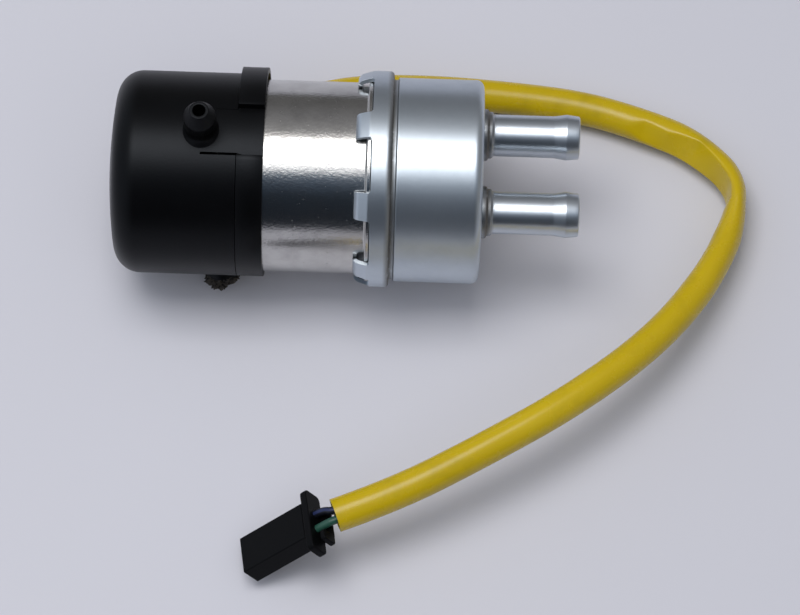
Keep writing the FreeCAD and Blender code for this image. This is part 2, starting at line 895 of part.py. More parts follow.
def make_valve(name, centre, seat, mouth):
    """Disc, spring and retainer of one valve, stacked from its seat to the pocket's mouth."""
    s = size
    way = 1 if float(mouth) > float(seat) else -1
    lift = seat + s.seat_gap * way
    disc = lift + s.valve_disc * way
    stop = mouth - s.valve_retainer * way
    drum(f"{name}_valve_disc", s.valve_radius, *sorted((lift, disc), key=float), centre)
    ends = sorted((disc + s.seat_gap * way, stop - s.seat_gap * way), key=float)
    sleeve_shape(f"{name}_valve_spring", s.valve_spring_radius - s.valve_spring_wire,
                 s.valve_spring_radius, *ends, centre=centre)
    sleeve_shape(f"{name}_valve_retainer", s.valve_spring_radius - s.valve_spring_wire * 2,
                 s.valve_pocket - s.seat_gap, *sorted((stop, mouth), key=float), centre=centre)


def make_breaker():
    """Plate with two cheeks, the toggle lever, the contacts, their pins and the condenser."""
    s = size
    plate_rear = s.base_rear - s.stud_height
    plate_front = plate_rear - s.plate
    centre_hole = s.knob_radius + s.loose_gap
    plate = sleeve_shape("plate_disc", centre_hole, s.plate_radius, plate_front, plate_rear)
    cheeks = []
    for side in (-1, 1):
        limits = sorted((s.cheek_inside * side, (s.cheek_inside + s.cheek_wall) * side), key=float)
        cheeks.append(block("cheek_near" if side < 0 else "cheek_far",
                            (-s.cheek_reach, plate_front + s.plate / 2), limits,
                            (s.cheek_bottom, s.cheek_top)))
    span = s.cheek_inside + s.cheek_wall + s.seat_gap * 4
    toggle = (s.toggle_place, -span, s.toggle_height)
    arm = (s.arm_place, -span, s.arm_height)
    post("toggle_pin", s.pin_radius, span * 2, toggle, ALONG_Y)
    post("contact_pin", s.pin_radius, span * 2, arm, ALONG_Y)
    hole = s.pin_radius + s.seat_gap / 2
    tools = [
        post("toggle_pin_hole", hole, span * 2, toggle, ALONG_Y),
        post("contact_pin_hole", hole, span * 2, arm, ALONG_Y),
        sleeve_shape("lead_window", s.screw_circle - s.stud_radius, s.plate_radius + OVERSHOOT,
                     plate_front - s.plate, plate_rear + OVERSHOOT, angle=s.lead_window_angle,
                     facing=as_size(90 - outlet_angle())),
    ]
    for number, angle in enumerate(SCREW_ANGLES, start=1):
        tools.append(drum(f"screw_hole_{number}", s.screw_shank + s.seat_gap,
                          plate_front - s.plate, plate_rear + s.plate, screw_centre(angle)))
    cut("breaker_plate", fused("plate_solid", [plate, *cheeks]), tools)
    make_screws(plate_front)
    make_lever()
    make_contacts(plate_front)
    make_condenser(plate_front)


def make_screws(plate_front):
    """Three pan-head screws that hold the breaker plate to the base."""
    s = size
    screws = []
    for number, angle in enumerate(SCREW_ANGLES, start=1):
        place = screw_centre(angle)
        head = drum(f"screw_head_{number}", s.screw_head, plate_front - s.screw_head_height,
                    plate_front, place)
        shank_end = plate_front + s.plate + s.screw_depth - s.seat_gap
        shank = drum(f"screw_shank_{number}", s.screw_shank, plate_front - s.seat_gap, shank_end,
                     place)
        screws.append(fused(f"screw_{number}", [head, shank]))
    group = doc.addObject("Part::Compound", "breaker_screws")
    group.Links = screws


def make_lever():
    """Forked lever on the toggle pin, hanging to the rod's knob."""
    s = size
    half_hub = s.cheek_inside - s.loose_gap
    hub = post("lever_hub", s.lever_hub, half_hub * 2, (ZERO, -half_hub, ZERO), ALONG_Y)
    drop = s.toggle_height - s.lever_tip
    blade = block("lever_blade", (-s.lever / 2, s.lever / 2),
                  (-s.lever_width / 2, s.lever_width / 2), (-drop, ZERO))
    slot_half = s.knob_waist + s.loose_gap / 2
    slot = block("lever_slot", (-s.lever, s.lever), (-slot_half, slot_half),
                 (-drop - OVERSHOOT, -s.toggle_height + s.knob_waist + s.loose_gap))
    bore = post("lever_bore", s.pin_radius + s.running_gap, (half_hub + OVERSHOOT) * 2,
                (ZERO, -half_hub - OVERSHOOT, ZERO), ALONG_Y)
    lever = cut("toggle_lever", fused("lever_solid", [hub, blade]), [slot, bore])
    swing = Size(f"({(s.stroke / 2 / s.toggle_height).formula} * 180 / pi)",
                 math.degrees(float(s.stroke) / 2 / float(s.toggle_height)))
    put(lever, (s.toggle_place, ZERO, s.toggle_height), Rotation(Vector(0, 1, 0), -float(swing)))
    bind(lever, "Placement.Rotation.Angle", -swing)


def make_contacts(plate_front):
    """Rocking contact arm, the fixed contact on its bracket and the snap spring."""
    s = size
    half_hub = s.cheek_inside - s.loose_gap
    hub = post("arm_hub", s.arm_hub, half_hub * 2, (s.arm_place, -half_hub, s.arm_height),
               ALONG_Y)
    tip = s.arm_place - s.arm_length
    blade_low = s.arm_height - s.arm / 2
    blade = block("arm_blade", (tip, s.arm_place), (-s.arm_width / 2, s.arm_width / 2),
                  (blade_low, blade_low + s.arm))
    contact_x = tip + s.contact_inset
    upper = post("arm_contact", s.contact_radius, s.contact,
                 (contact_x, ZERO, blade_low - s.contact))
    bore = post("arm_bore", s.pin_radius + s.running_gap, (half_hub + OVERSHOOT) * 2,
                (s.arm_place, -half_hub - OVERSHOOT, s.arm_height), ALONG_Y)
    cut("contact_arm", fused("arm_solid", [hub, blade, upper]), [bore])
    meeting = blade_low - s.contact - s.seat_gap
    bracket_top = meeting - s.contact / 2
    half = s.arm_width / 2
    bracket = block("bracket_arm", (tip, plate_front - s.seat_gap),
                    (-half, half), (bracket_top - s.arm, bracket_top))
    foot = block("bracket_foot", (plate_front - s.seat_gap - s.arm, plate_front - s.seat_gap),
                 (-half, half), (bracket_top - s.arm * 3, bracket_top))
    lower = post("lower_contact", s.contact_radius, s.contact / 2, (contact_x, ZERO, bracket_top))
    fused("fixed_contact", [bracket, foot, lower])
    top = -s.knob_radius - s.loose_gap
    post("snap_spring", s.snap_radius, top - (blade_low + s.arm + s.loose_gap),
         (s.toggle_place, ZERO, blade_low + s.arm + s.loose_gap))


def make_condenser(plate_front):
    """Spark condenser and the clip that holds it to the plate."""
    s = size
    x = plate_front - s.clip_wall - s.seat_gap - s.condenser_radius
    half = s.condenser_length / 2
    post("condenser", s.condenser_radius, s.condenser_length, (x, s.condenser_side, -half))
    at = (x, s.condenser_side, -s.clip_width / 2)
    inner = s.condenser_radius + s.seat_gap
    ring = post("clip_ring", inner + s.clip_wall, s.clip_width, at)
    space = post("clip_space", inner, s.clip_width + OVERSHOOT * 2,
                 (x, s.condenser_side, -s.clip_width / 2 - OVERSHOOT))
    cut("condenser_clip", ring, [space])


def bend_radius(before, after, turn):
    """Radius of an arc that takes 0.45 of the shorter of two runs."""
    return 0.45 * min(before, after) / math.tan(turn / 2)


def cord_path(label, points, limits=None):
    """Straight runs joined by tangent arcs through a list of points, with the radii printed."""
    limits = limits or {}
    edges = []
    start = points[0]
    radii = []
    for index in range(1, len(points) - 1):
        corner = points[index]
        back = points[index - 1] - corner
        ahead = points[index + 1] - corner
        turn = math.pi - back.getAngle(ahead)
        radius = bend_radius(back.Length, ahead.Length, turn)
        radius = min(radius, limits.get(index, radius))
        radii.append(round(radius, 1))
        reach = radius * math.tan(turn / 2)
        first = corner + Vector(back).normalize() * reach
        last = corner + Vector(ahead).normalize() * reach
        inward = (Vector(back).normalize() + Vector(ahead).normalize()).normalize()
        middle = corner + inward * (radius / math.cos(turn / 2) - radius)
        edges.append(Part.LineSegment(start, first).toShape())
        edges.append(Part.Arc(first, middle, last).toShape())
        start = last
    edges.append(Part.LineSegment(start, points[-1]).toShape())
    print(label, "bend radii", radii)
    return Part.Wire(edges)


def swept(path, radius):
    """A round rod along a path of lines and arcs."""
    start = path.Edges[0].Vertexes[0].Point
    direction = path.Edges[0].tangentAt(path.Edges[0].FirstParameter)
    profile = Part.Wire([Part.Circle(start, direction, radius).toShape()])
    return path.makePipeShell([profile], True, False)


def cord_piece(label, shape, path, radius, bore=0.0):
    """Keep a cord's solid, after comparing its volume with its section times its length."""
    expected = math.pi * (radius ** 2 - bore ** 2) * path.Length
    print(label, "length", round(path.Length, 1), "volume ratio", round(shape.Volume / expected, 4))
    if abs(shape.Volume / expected - 1) > 0.01:
        raise ValueError(f"{label}: the sweep has the wrong volume")
    item = doc.addObject("Part::Feature", label)
    item.Shape = shape
    return item


def plug_placement():
    """Where the connector lies: nose on the table, wire end raised by the stiff sleeve."""
    s = size
    turn = Rotation(float(s.plug_heading), float(s.plug_tilt), float(s.plug_roll))
    return FreeCAD.Placement(Vector(float(s.plug_x), float(s.plug_y), float(s.plug_z)), turn)


# The wires lie one over the other in the sleeve, and turn side by side over its last points.
WIRE_TWIST_POINTS = 3


def make_lead():
    """Yellow sleeve from the outlet to its cut end, and the two wires that run in it."""
    s = size
    outlet = Vector(0, float(s.outlet_y), float(s.outlet_z))
    sleeve_start = float(s.rim_end - s.outlet_depth)
    route = [Vector(sleeve_start, outlet.y, outlet.z)]
    route += [Vector(*point) for point in SLEEVE_ROUTE]
    path = cord_path("cord_sleeve", route)
    radius = float(s.sleeve_radius)
    bore = float(s.sleeve_radius - s.sleeve_wall)
    shape = swept(path, radius).cut(swept(path, bore))
    cord_piece("cord_sleeve", shape, path, radius, bore)

    inward = Vector(outlet).normalize() * -1
    across = Vector(1, 0, 0).cross(inward).normalize()
    if across.z < 0:
        across = across * -1
    channel = sleeve_start - float(s.wire_channel) / 2
    entry = Vector(channel, outlet.y, outlet.z)
    plug = plug_placement()
    plug_side = plug.Rotation.multVec(Vector(0, 1, 0))
    wire_offset = float(s.wire_offset)
    for name, side in (("lead_wire_black", 1), ("lead_wire_green", -1)):
        shift = across * (wire_offset * side)
        points = [entry + inward * float(s.wire_entry) + shift, entry + shift]
        for back, point in zip(range(len(route) - 2, -1, -1), route[1:]):
            share = max(0.0, 1 - back / WIRE_TWIST_POINTS)
            lift = Vector(0, 0, 1 - share) + plug_side * share
            points.append(point + lift.normalize() * (wire_offset * side))
        pole = side * float(s.plug_pitch) / 2
        points.append(plug.multVec(Vector(float(s.plug_flange + s.wire_straight), pole, 0)))
        points.append(plug.multVec(Vector(0.0, pole, 0)))
        wire_path = cord_path(name, points, {1: float(s.wire_elbow)})
        radius = float(s.wire_radius)
        cord_piece(name, swept(wire_path, radius), wire_path, radius)


def make_connector():
    """Two-pole connector: a slim body with ears at the wire end and two sockets."""
    s = size
    half_width = s.plug_width / 2
    half_height = s.plug_height / 2
    top = (-half_height, half_height)
    shelf = (-half_height, -half_height + s.plug_latch)
    body = block("plug_body", (-s.plug_length, ZERO), (-half_width, half_width), top)
    doc.recompute()
    bevel = doc.addObject("Part::Chamfer", "plug_bevel")
    bevel.Base = body
    front = []
    for number, edge in enumerate(body.Shape.Edges, start=1):
        if edge.BoundBox.XMax < -float(s.plug_length) + 0.01:
            front.append((number, float(s.plug_corner), float(s.plug_corner)))
    bevel.Edges = front
    latch_end = s.plug_latch_place + s.plug_latch
    inner_latch = -s.plug_pitch / 2 - s.wire_radius - s.loose_gap
    pieces = [
        bevel,
        block("plug_flange_block", (ZERO, s.plug_flange),
              (-half_width - s.plug_lower_ear, half_width + s.plug_upper_ear), top),
        block("plug_bridge", (ZERO, latch_end), (-half_width, half_width / 2), shelf),
        block("plug_latch_block", (s.plug_latch_place, latch_end),
              (-half_width - s.plug_latch_ear, inner_latch), top),
    ]
    tools = []
    terminals = []
    for name, side in (("upper", 1), ("lower", -1)):
        pole = s.plug_pitch / 2 * side
        tools.append(block(
            f"{name}_socket", (-s.plug_length - OVERSHOOT, -s.plug_length + s.socket_depth),
            (pole - s.socket_width / 2, pole + s.socket_width / 2),
            (-s.socket_height / 2, s.socket_height / 2)))
        tools.append(post(f"{name}_wire_hole", s.wire_radius + s.seat_gap,
                          s.plug_flange + OVERSHOOT, (ZERO, pole, ZERO), ALONG_X))
        terminals.append(block(
            f"{name}_terminal", (-s.plug_length + s.socket_depth / 4, -s.plug_length + s.socket_depth),
            (pole - s.terminal_width / 2, pole + s.terminal_width / 2),
            (-s.socket_height / 2, -s.socket_height / 2 + s.terminal_height)))
    housing = cut("connector_housing", fused("plug_solid", pieces), tools)
    group = doc.addObject("Part::Compound", "connector_terminals")
    group.Links = terminals
    housing.Placement = plug_placement()
    group.Placement = plug_placement()


NODES = [
    "contact_cover", "vent_filter", "contact_base", "pump_can", "valve_housing",
    "port_plate", "inlet_port", "outlet_port",
    "rear_pole_plate", "fixed_core", "guide_tube", "coil_bobbin", "coil_winding",
    "front_pole_plate", "pole_circlip",
    "armature", "rear_cup", "diaphragm", "front_cup", "rod_nut", "push_rod", "rod_knob",
    "return_spring",
    "valve_body", "body_gasket",
    "inlet_valve_disc", "inlet_valve_spring", "inlet_valve_retainer",
    "outlet_valve_disc", "outlet_valve_spring", "outlet_valve_retainer",
    "breaker_plate", "breaker_screws", "toggle_pin", "contact_pin", "toggle_lever",
    "contact_arm", "fixed_contact", "snap_spring", "condenser", "condenser_clip",
    "cord_sleeve", "lead_wire_black", "lead_wire_green",
    "connector_housing", "connector_terminals",
]


def write_parts():
    """Check every object, then write each sub-part to its own file."""
    doc.recompute()
    for item in doc.Objects:
        if "Invalid" in item.State or "Error" in item.State:
            raise ValueError(f"{item.Label} did not build: {item.State}")
    os.makedirs("parts", exist_ok=True)
    for node in NODES:
        shape = doc.getObject(node).Shape
        if shape.isNull() or not shape.isValid() or not shape.Solids:
            raise ValueError(f"{node} has no valid solid")
        shape.exportStep(f"parts/{node}.step")
        box = shape.BoundBox
        print(f"{node:24s} solids {len(shape.Solids)}  volume {shape.Volume:9.1f}"
              f"  X {box.XMin:6.1f} to {box.XMax:6.1f}")


make_cover()
make_filter()
make_base()
make_can()
make_housing()
make_port_plate()
make_ports()
make_solenoid()
make_plunger()
make_knob()
make_valves()
make_breaker()
make_lead()
make_connector()
write_parts()
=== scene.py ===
import logging
import math
from abc import ABC, abstractmethod
from dataclasses import dataclass
from enum import Enum
from functools import cache
from typing import Any, Callable, Optional, Sequence, Union

import bmesh
import bpy
import numpy as np
from mathutils import Matrix, Vector


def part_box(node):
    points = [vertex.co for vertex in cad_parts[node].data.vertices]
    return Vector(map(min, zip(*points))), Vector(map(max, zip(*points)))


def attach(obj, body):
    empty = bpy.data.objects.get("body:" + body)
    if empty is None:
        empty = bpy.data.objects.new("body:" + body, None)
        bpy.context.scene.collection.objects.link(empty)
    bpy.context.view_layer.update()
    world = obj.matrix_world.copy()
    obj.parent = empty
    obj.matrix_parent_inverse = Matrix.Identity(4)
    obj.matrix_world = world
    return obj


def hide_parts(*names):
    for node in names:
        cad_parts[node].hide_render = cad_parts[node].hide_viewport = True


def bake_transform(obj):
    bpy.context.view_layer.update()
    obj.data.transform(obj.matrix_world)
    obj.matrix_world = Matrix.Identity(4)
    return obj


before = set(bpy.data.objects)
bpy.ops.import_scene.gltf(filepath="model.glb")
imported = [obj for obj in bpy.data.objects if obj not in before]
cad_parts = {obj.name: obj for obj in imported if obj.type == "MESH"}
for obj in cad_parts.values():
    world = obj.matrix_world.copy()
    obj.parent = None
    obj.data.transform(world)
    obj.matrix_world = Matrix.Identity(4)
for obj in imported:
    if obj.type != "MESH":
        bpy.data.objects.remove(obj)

MM = 0.001
IMAGE_WIDTH = 800
TABLE_Z = -21.3
TURN = 2.0 * math.pi
WELD_DISTANCE = 2e-6
SHORTEST_EDGE = 1e-6
LEAST_LENGTH = 1e-9
LEAST_STEP = 1e-5
LEAST_TURN = 1e-4
ARC_SHARE = 0.49
BEVELLED_FROM = 38.0
BEVEL_SEGMENTS = 2
SPLINE_STEPS = 24

log = logging.getLogger("pump")


class Body(Enum):
    """The bodies of the mechanism that a piece can ride on."""

    PUMP = "pump_body"
    PLUNGER = "plunger"
    ROCKER = "contact_rocker"
    INLET_VALVE = "inlet_valve"
    OUTLET_VALVE = "outlet_valve"


class Shape(Enum):
    """How the rows and columns of a grid of points are joined."""

    OPEN = (False, False)
    RING = (False, True)
    TUBE = (True, True)


# Shader maths


def _joined(operation: str, swapped: bool = False) -> Callable[["Value", "Number"], "Value"]:
    """The method behind one arithmetic sign.

    Args:
        operation: the Math node's operation.
        swapped: whether the other number comes first, as in the reflected forms.

    Returns:
        A method that joins this and another number by that node.
    """
    def method(self: "Value", other: "Number") -> "Value":
        """This and the other number, joined by one Math node."""
        return self.maths(operation, *((other, self) if swapped else (self, other)))
    return method


class Value:
    """One number socket of a shader, written in sums as a plain number would be."""

    __add__, __radd__ = _joined("ADD"), _joined("ADD", True)
    __sub__, __rsub__ = _joined("SUBTRACT"), _joined("SUBTRACT", True)
    __mul__, __rmul__ = _joined("MULTIPLY"), _joined("MULTIPLY", True)
    __truediv__, __rtruediv__ = _joined("DIVIDE"), _joined("DIVIDE", True)

    def __init__(self, board: "Board", socket: bpy.types.NodeSocket) -> None:
        """Wraps a socket of the given board."""
        self.board = board
        self.socket = socket

    def maths(self, operation: str, *terms: "Number", clamp: bool = False) -> "Value":
        """The output of a new Math node with these inputs, kept within 0 and 1 if clamp."""
        made = self.board.node("ShaderNodeMath", {"operation": operation, "use_clamp": clamp},
                               dict(enumerate(terms)))
        return Value(self.board, made.outputs[0])

    def clamped(self) -> "Value":
        """This kept between 0 and 1."""
        return self.maths("ADD", self, 0.0, clamp=True)

    def size(self) -> "Value":
        """This without its sign."""
        return self.maths("ABSOLUTE", self)

    def sine(self) -> "Value":
        """The sine of this."""
        return self.maths("SINE", self)

    def ramp(self, low: float, high: float) -> "Value":
        """0 below low, 1 above high and smooth between them; low may be the larger."""
        made = self.board.node("ShaderNodeMapRange", {"interpolation_type": "SMOOTHSTEP"},
                               {"Value": self, "From Min": low, "From Max": high})
        return Value(self.board, made.outputs["Result"])


Number = Union[Value, float]
Colour = tuple[float, float, float]


class Board:
    """The node tree of a material or of the world, with short names for the nodes used."""

    def __init__(self, owner: Union[bpy.types.Material, bpy.types.World],
                 output: str = "Object") -> None:
        """Empties the owner's nodes and takes one output of the coordinates as its place.

        Args:
            owner: the material or world.
            output: the output of the Texture Coordinate node.
        """
        self.owner = owner
        owner.use_nodes = True
        self.tree = owner.node_tree
        self.tree.nodes.clear()
        self.place = self.node("ShaderNodeTexCoord").outputs[output]

    def node(self, kind: str, settings: Optional[dict[str, Any]] = None,
             inputs: Optional[dict[Any, Any]] = None) -> bpy.types.Node:
        """Adds one node.

        Args:
            kind: the node's type.
            settings: its properties, set first.
            inputs: the value or link of each input, by name or number.

        Returns:
            The node.
        """
        made = self.tree.nodes.new(kind)
        for name, setting in (settings or {}).items():
            if name == "stops":
                self._set_stops(made.color_ramp, setting)
            else:
                setattr(made, name, setting)
        for name, given in (inputs or {}).items():
            socket = made.inputs[name]
            source = given.socket if isinstance(given, Value) else given
            if isinstance(source, bpy.types.NodeSocket):
                self.tree.links.new(source, socket)
            else:
                short = socket.type == "RGBA" and len(source) == 3
                socket.default_value = (*source, 1.0) if short else source
        return made

    @staticmethod
    def _set_stops(ramp: bpy.types.ColorRamp, stops: Sequence[tuple[float, Colour]]) -> None:
        """Gives a colour ramp its stops.

        Args:
            ramp: the ramp.
            stops: the place and colour of each, in order.
        """
        while len(ramp.elements) < len(stops):
            ramp.elements.new(1.0)
        for element, (at, colour) in zip(ramp.elements, stops):
            element.position = at
            element.color = (*colour, 1.0)

    def scaled(self, scale: Sequence[float],
               turn: Sequence[float] = (0.0, 0.0, 0.0)) -> bpy.types.NodeSocket:
        """The coordinates turned by angles in radians and stretched along each axis."""
        return self.node("ShaderNodeMapping", {"vector_type": "POINT"},
                         {"Vector": self.place, "Rotation": turn, "Scale": scale}).outputs[0]

    def axis(self, name: str, vector: Optional[bpy.types.NodeSocket] = None) -> Value:
        """The X, Y or Z part of the coordinates or of a given vector."""
        made = self.node("ShaderNodeSeparateXYZ", None, {"Vector": vector or self.place})
        return Value(self, made.outputs[name])

    def noise(self, scale: float, detail: float = 3.0, roughness: float = 0.5,
              vector: Optional[bpy.types.NodeSocket] = None) -> Value:
        """Noise between 0 and 1.

        Args:
            scale: its cells to the metre.
            detail: how many finer layers are laid over it.
            roughness: how strong those are.
            vector: the place that it is read at, if not the board's own.

        Returns:
            The noise.
        """
        made = self.node("ShaderNodeTexNoise", {"noise_dimensions": "3D"}, {
            "Vector": vector or self.place, "Scale": scale, "Detail": detail,
            "Roughness": roughness})
        return Value(self, made.outputs["Fac"])

    def cells(self, scale: float) -> Value:
        """Distance to the nearest of many scattered points, scale being points to the metre."""
        made = self.node("ShaderNodeTexVoronoi", None, {"Vector": self.place, "Scale": scale})
        return Value(self, made.outputs["Distance"])

    def blend(self, share: Number, first: Any, second: Any) -> bpy.types.NodeSocket:
        """A colour that goes from first to second as share goes from 0 to 1."""
        made = self.node("ShaderNodeMix", {"data_type": "RGBA", "clamp_factor": True},
                         {0: share, 6: first, 7: second})
        return made.outputs[2]

    def bump(self, height: Value, depth: float, strength: float = 1.0,
             under: Optional[bpy.types.NodeSocket] = None) -> bpy.types.NodeSocket:
        """A normal shaped by a height.

        Args:
            height: the height, 0 to 1.
            depth: the metres that a height of 1 stands for.
            strength: the share of the effect.
            under: a normal to start from.

        Returns:
            The normal.
        """
        inputs: dict[str, Any] = {"Height": height, "Distance": depth, "Strength": strength}
        if under is not None:
            inputs["Normal"] = under
        return self.node("ShaderNodeBump", None, inputs).outputs["Normal"]

    def ramp(self, share: Number, stops: Sequence[tuple[float, Colour]]) -> Any:
        """The colour of a ramp at share, its stops being places and colours in order."""
        return self.node("ShaderNodeValToRGB", {"stops": stops}, {"Fac": share}).outputs[0]

    def surface(self, **sockets: Any) -> bpy.types.Material:
        """Ends the material with one Principled shader.

        Args:
            sockets: the shader's inputs, with underscores for the spaces of their names.

        Returns:
            The material.
        """
        inputs = {name.replace("_", " "): given for name, given in sockets.items()}
        shader = self.node("ShaderNodeBsdfPrincipled", None, inputs)
        self.node("ShaderNodeOutputMaterial", None, {"Surface": shader.outputs[0]})
        return self.owner


# Finishes


@dataclass(frozen=True)
class Finish(ABC):
    """What every finish has: the name of its slot, a main colour and a way to its material."""

    name: str
    colour: Colour

    @abstractmethod
    def sockets(self, board: Board) -> dict[str, Any]:
        """The shader's inputs; the nodes that lead to them are put on the board."""

    def times(self, share: float) -> Colour:
        """The colour made darker by a share."""
        return tuple(share * part for part in self.colour)

    def material(self) -> bpy.types.Material:
        """Builds the material."""
        board = Board(bpy.data.materials.new(self.name))
        return board.surface(**self.sockets(board))


@dataclass(frozen=True)
class Moulded(Finish):
    """Moulded plastic: fine grain, slightly uneven gloss and a few scuffs."""

    worn: Colour
    gloss: float
    grain: float = 2600.0
    depth: float = 0.00002
    scuffs: float = 0.35
    level: float = 0.15
    uneven: float = 0.12
    tint: Colour = (0.84, 0.90, 1.0)

    def sockets(self, board: Board) -> dict[str, Any]:
        """The shader's inputs.

        Args:
            board: the material's nodes.

        Returns:
            The inputs by name.
        """
        clouds = board.noise(90.0, detail=4.0, roughness=0.6)
        fine = board.noise(self.grain, detail=2.0, roughness=0.6)
        drawn = board.scaled(scale=(1.0, 7.0, 7.0), turn=(0.3, 0.2, 0.5))
        streaks = board.noise(60.0, detail=5.0, roughness=0.7, vector=drawn)
        scuffed = streaks.ramp(0.62, 0.74) * self.scuffs
        colour = board.blend(scuffed, board.blend(clouds, self.colour, self.worn), self.worn)
        rough = self.gloss + (clouds - 0.5) * self.uneven + scuffed * self.uneven
        return dict(Base_Color=colour, Roughness=rough.clamped(),
                    Specular_IOR_Level=self.level, Specular_Tint=self.tint,
                    Normal=board.bump(fine, self.depth, strength=0.6))


@dataclass(frozen=True)
class Plated(Finish):
    """Plated steel: mottled plating, tiny pits and faint lines round the axis.

    Each such band lies round the axis, given by its place along X and its half width in metres; it
    paints brownish grime together with painted shade over a groove, a rounded shoulder or a
    collar.
    """

    shade: Colour
    gloss: float
    mottle: float
    pits: float
    lines: float
    line_depth: float = 0.000004
    waves: float = 0.00001
    grain: float = 0.000004
    grime_shade_bands: tuple[tuple[float, float], ...] = ()
    grime_shade_colour: Colour = (0.115, 0.095, 0.070)

    def sockets(self, board: Board) -> dict[str, Any]:
        """The shader's inputs.

        Args:
            board: the material's nodes.

        Returns:
            The inputs by name.
        """
        clouds = board.noise(230.0, detail=6.0, roughness=0.7)
        broad = board.noise(35.0, detail=3.0, roughness=0.5)
        grain = board.noise(1900.0, detail=3.0, roughness=0.6)
        drawn = board.scaled(scale=(1.0, 0.02, 0.02))
        turning = board.noise(700.0, detail=3.0, roughness=0.7, vector=drawn)
        speck = board.noise(1500.0, detail=2.0, roughness=0.5).ramp(0.66, 0.78)
        dull = (clouds.ramp(0.35, 0.75) * self.mottle + broad * 0.3).clamped()
        colour = board.blend(speck * self.pits, board.blend(dull, self.colour, self.shade),
                             self.shade)
        rough = (self.gloss + (clouds - 0.5) * 0.16 * self.mottle + speck * 0.2 * self.pits
                 + (broad - 0.5) * 0.3 * self.mottle)
        # Each band darkens the colour with brownish grime and painted shade, which stands in for
        # the groove's shade and the rounded shoulder's dark reflection.
        for place, half in self.grime_shade_bands:
            near = (1.0 - (board.axis("X") - place).size() / half).clamped()
            grime_shaded = near * clouds.ramp(0.1, 0.5) * 0.85
            colour = board.blend(grime_shaded, colour, self.grime_shade_colour)
            rough = rough + grime_shaded * 0.25
        normal = board.bump(turning, self.line_depth, self.lines)
        for height, depth in ((clouds, self.waves), (grain, self.grain)):
            normal = board.bump(height, depth, under=normal)
        return dict(Base_Color=colour, Metallic=1.0, Roughness=rough.clamped(), Normal=normal)


@dataclass(frozen=True)
class Plain(Finish):
    """A piece inside the pump: one colour with a little grain and unevenness."""

    metallic: float
    gloss: float
    grain: float = 1200.0
    depth: float = 0.00001
    shade: float = 0.72
    uneven: float = 0.2

    def sockets(self, board: Board) -> dict[str, Any]:
        """The shader's inputs.

        Args:
            board: the material's nodes.

        Returns:
            The inputs by name.
        """
        clouds = board.noise(160.0, detail=4.0, roughness=0.6)
        fine = board.noise(self.grain, detail=2.0, roughness=0.5)
        rough = self.gloss + (clouds - 0.5) * self.uneven
        return dict(Base_Color=board.blend(clouds, self.colour, self.times(self.shade)),
                    Metallic=self.metallic, Roughness=rough.clamped(),
                    Normal=board.bump(fine, self.depth, strength=0.5))


@dataclass(frozen=True)
class Wound(Finish):
    """Enamelled wire wound in close turns round the axis, with painted shade in the grooves
    between the turns.
    """

    pitch: float = 0.0004
    shade: float = 0.4
    gloss: float = 0.28

    def sockets(self, board: Board) -> dict[str, Any]:
        """The shader's inputs: the height is the size of a sine along the axis.

        Args:
            board: the material's nodes.

        Returns:
            The inputs by name.
        """
        wave = (board.axis("X") * (math.pi / self.pitch)).sine().size()
        clouds = board.noise(300.0, detail=3.0, roughness=0.6)
        # Darker where the sine is low: painted shade in the grooves between the turns.
        colour = board.blend(wave, self.times(self.shade), self.colour)
        return dict(Base_Color=colour, Metallic=0.7,
                    Roughness=(self.gloss + clouds * 0.15).clamped(),
                    Normal=board.bump(wave, self.pitch / 2, strength=0.8))


@dataclass(frozen=True)
class Foam(Finish):
    """Open foam: deep cells between rough walls, with the cells painted near black as shade."""

    hole: Colour = (0.002, 0.002, 0.002)

    def sockets(self, board: Board) -> dict[str, Any]:
        """The shader's inputs.

        Args:
            board: the material's nodes.

        Returns:
            The inputs by name.
        """
        holes = board.cells(1400.0)
        fine = board.noise(2200.0, detail=3.0, roughness=0.6)
        # The cells take the near-black hole colour: painted shade inside the pores.
        return dict(Base_Color=board.blend(holes.ramp(0.1, 0.6), self.hole, self.colour),
                    Roughness=0.9, Normal=board.bump(holes + fine * 0.4, depth=0.0006))


@dataclass(frozen=True)
class Vinyl(Finish):
    """Soft vinyl tubing: thin and a little see-through, so its colour shifts in patches."""

    deep: Colour
    pale: Colour
    gloss: float = 0.27

    def sockets(self, board: Board) -> dict[str, Any]:
        """The shader's inputs.

        Args:
            board: the material's nodes.

        Returns:
            The inputs by name.
        """
        broad = board.noise(26.0, detail=3.0, roughness=0.5)
        clouds = board.noise(110.0, detail=4.0, roughness=0.6)
        dirt = board.noise(420.0, detail=3.0, roughness=0.6).ramp(0.66, 0.8)
        colour = board.blend(broad.ramp(0.42, 0.7), self.colour, self.pale)
        colour = board.blend(clouds.ramp(0.5, 0.8) * 0.6, colour, self.deep)
        colour = board.blend(dirt * 0.25, colour, self.deep)
        rough = self.gloss + (clouds - 0.5) * 0.12 + dirt * 0.2
        normal = board.bump(clouds, depth=0.00012, strength=0.35)
        fine = board.noise(900.0, detail=2.0)
        normal = board.bump(fine, depth=0.00002, strength=0.4, under=normal)
        return dict(Base_Color=colour, Roughness=rough.clamped(), Normal=normal,
                    Specular_IOR_Level=0.4, Subsurface_Weight=0.1,
                    Subsurface_Radius=(0.002, 0.0012, 0.0003))


@dataclass(frozen=True)
class Insulation(Finish):
    """Wire insulation with one stripe along it, placed by the wire's own UV map."""

    stripe: Colour
    gloss: float = 0.34

    def sockets(self, board: Board) -> dict[str, Any]:
        """The shader's inputs: the stripe is where the second UV part is near its middle.

        Args:
            board: the material's nodes.

        Returns:
            The inputs by name.
        """
        around = board.axis("Y", board.node("ShaderNodeUVMap", {"uv_map": "wrap"}).outputs[0])
        mark = (around - 0.5).size().ramp(0.075, 0.055)
        clouds = board.noise(300.0, detail=3.0, roughness=0.6)
        return dict(Base_Color=board.blend(mark, self.colour, self.stripe),
                    Roughness=(self.gloss + clouds * 0.12).clamped(),
                    Normal=board.bump(clouds, depth=0.00003, strength=0.4))


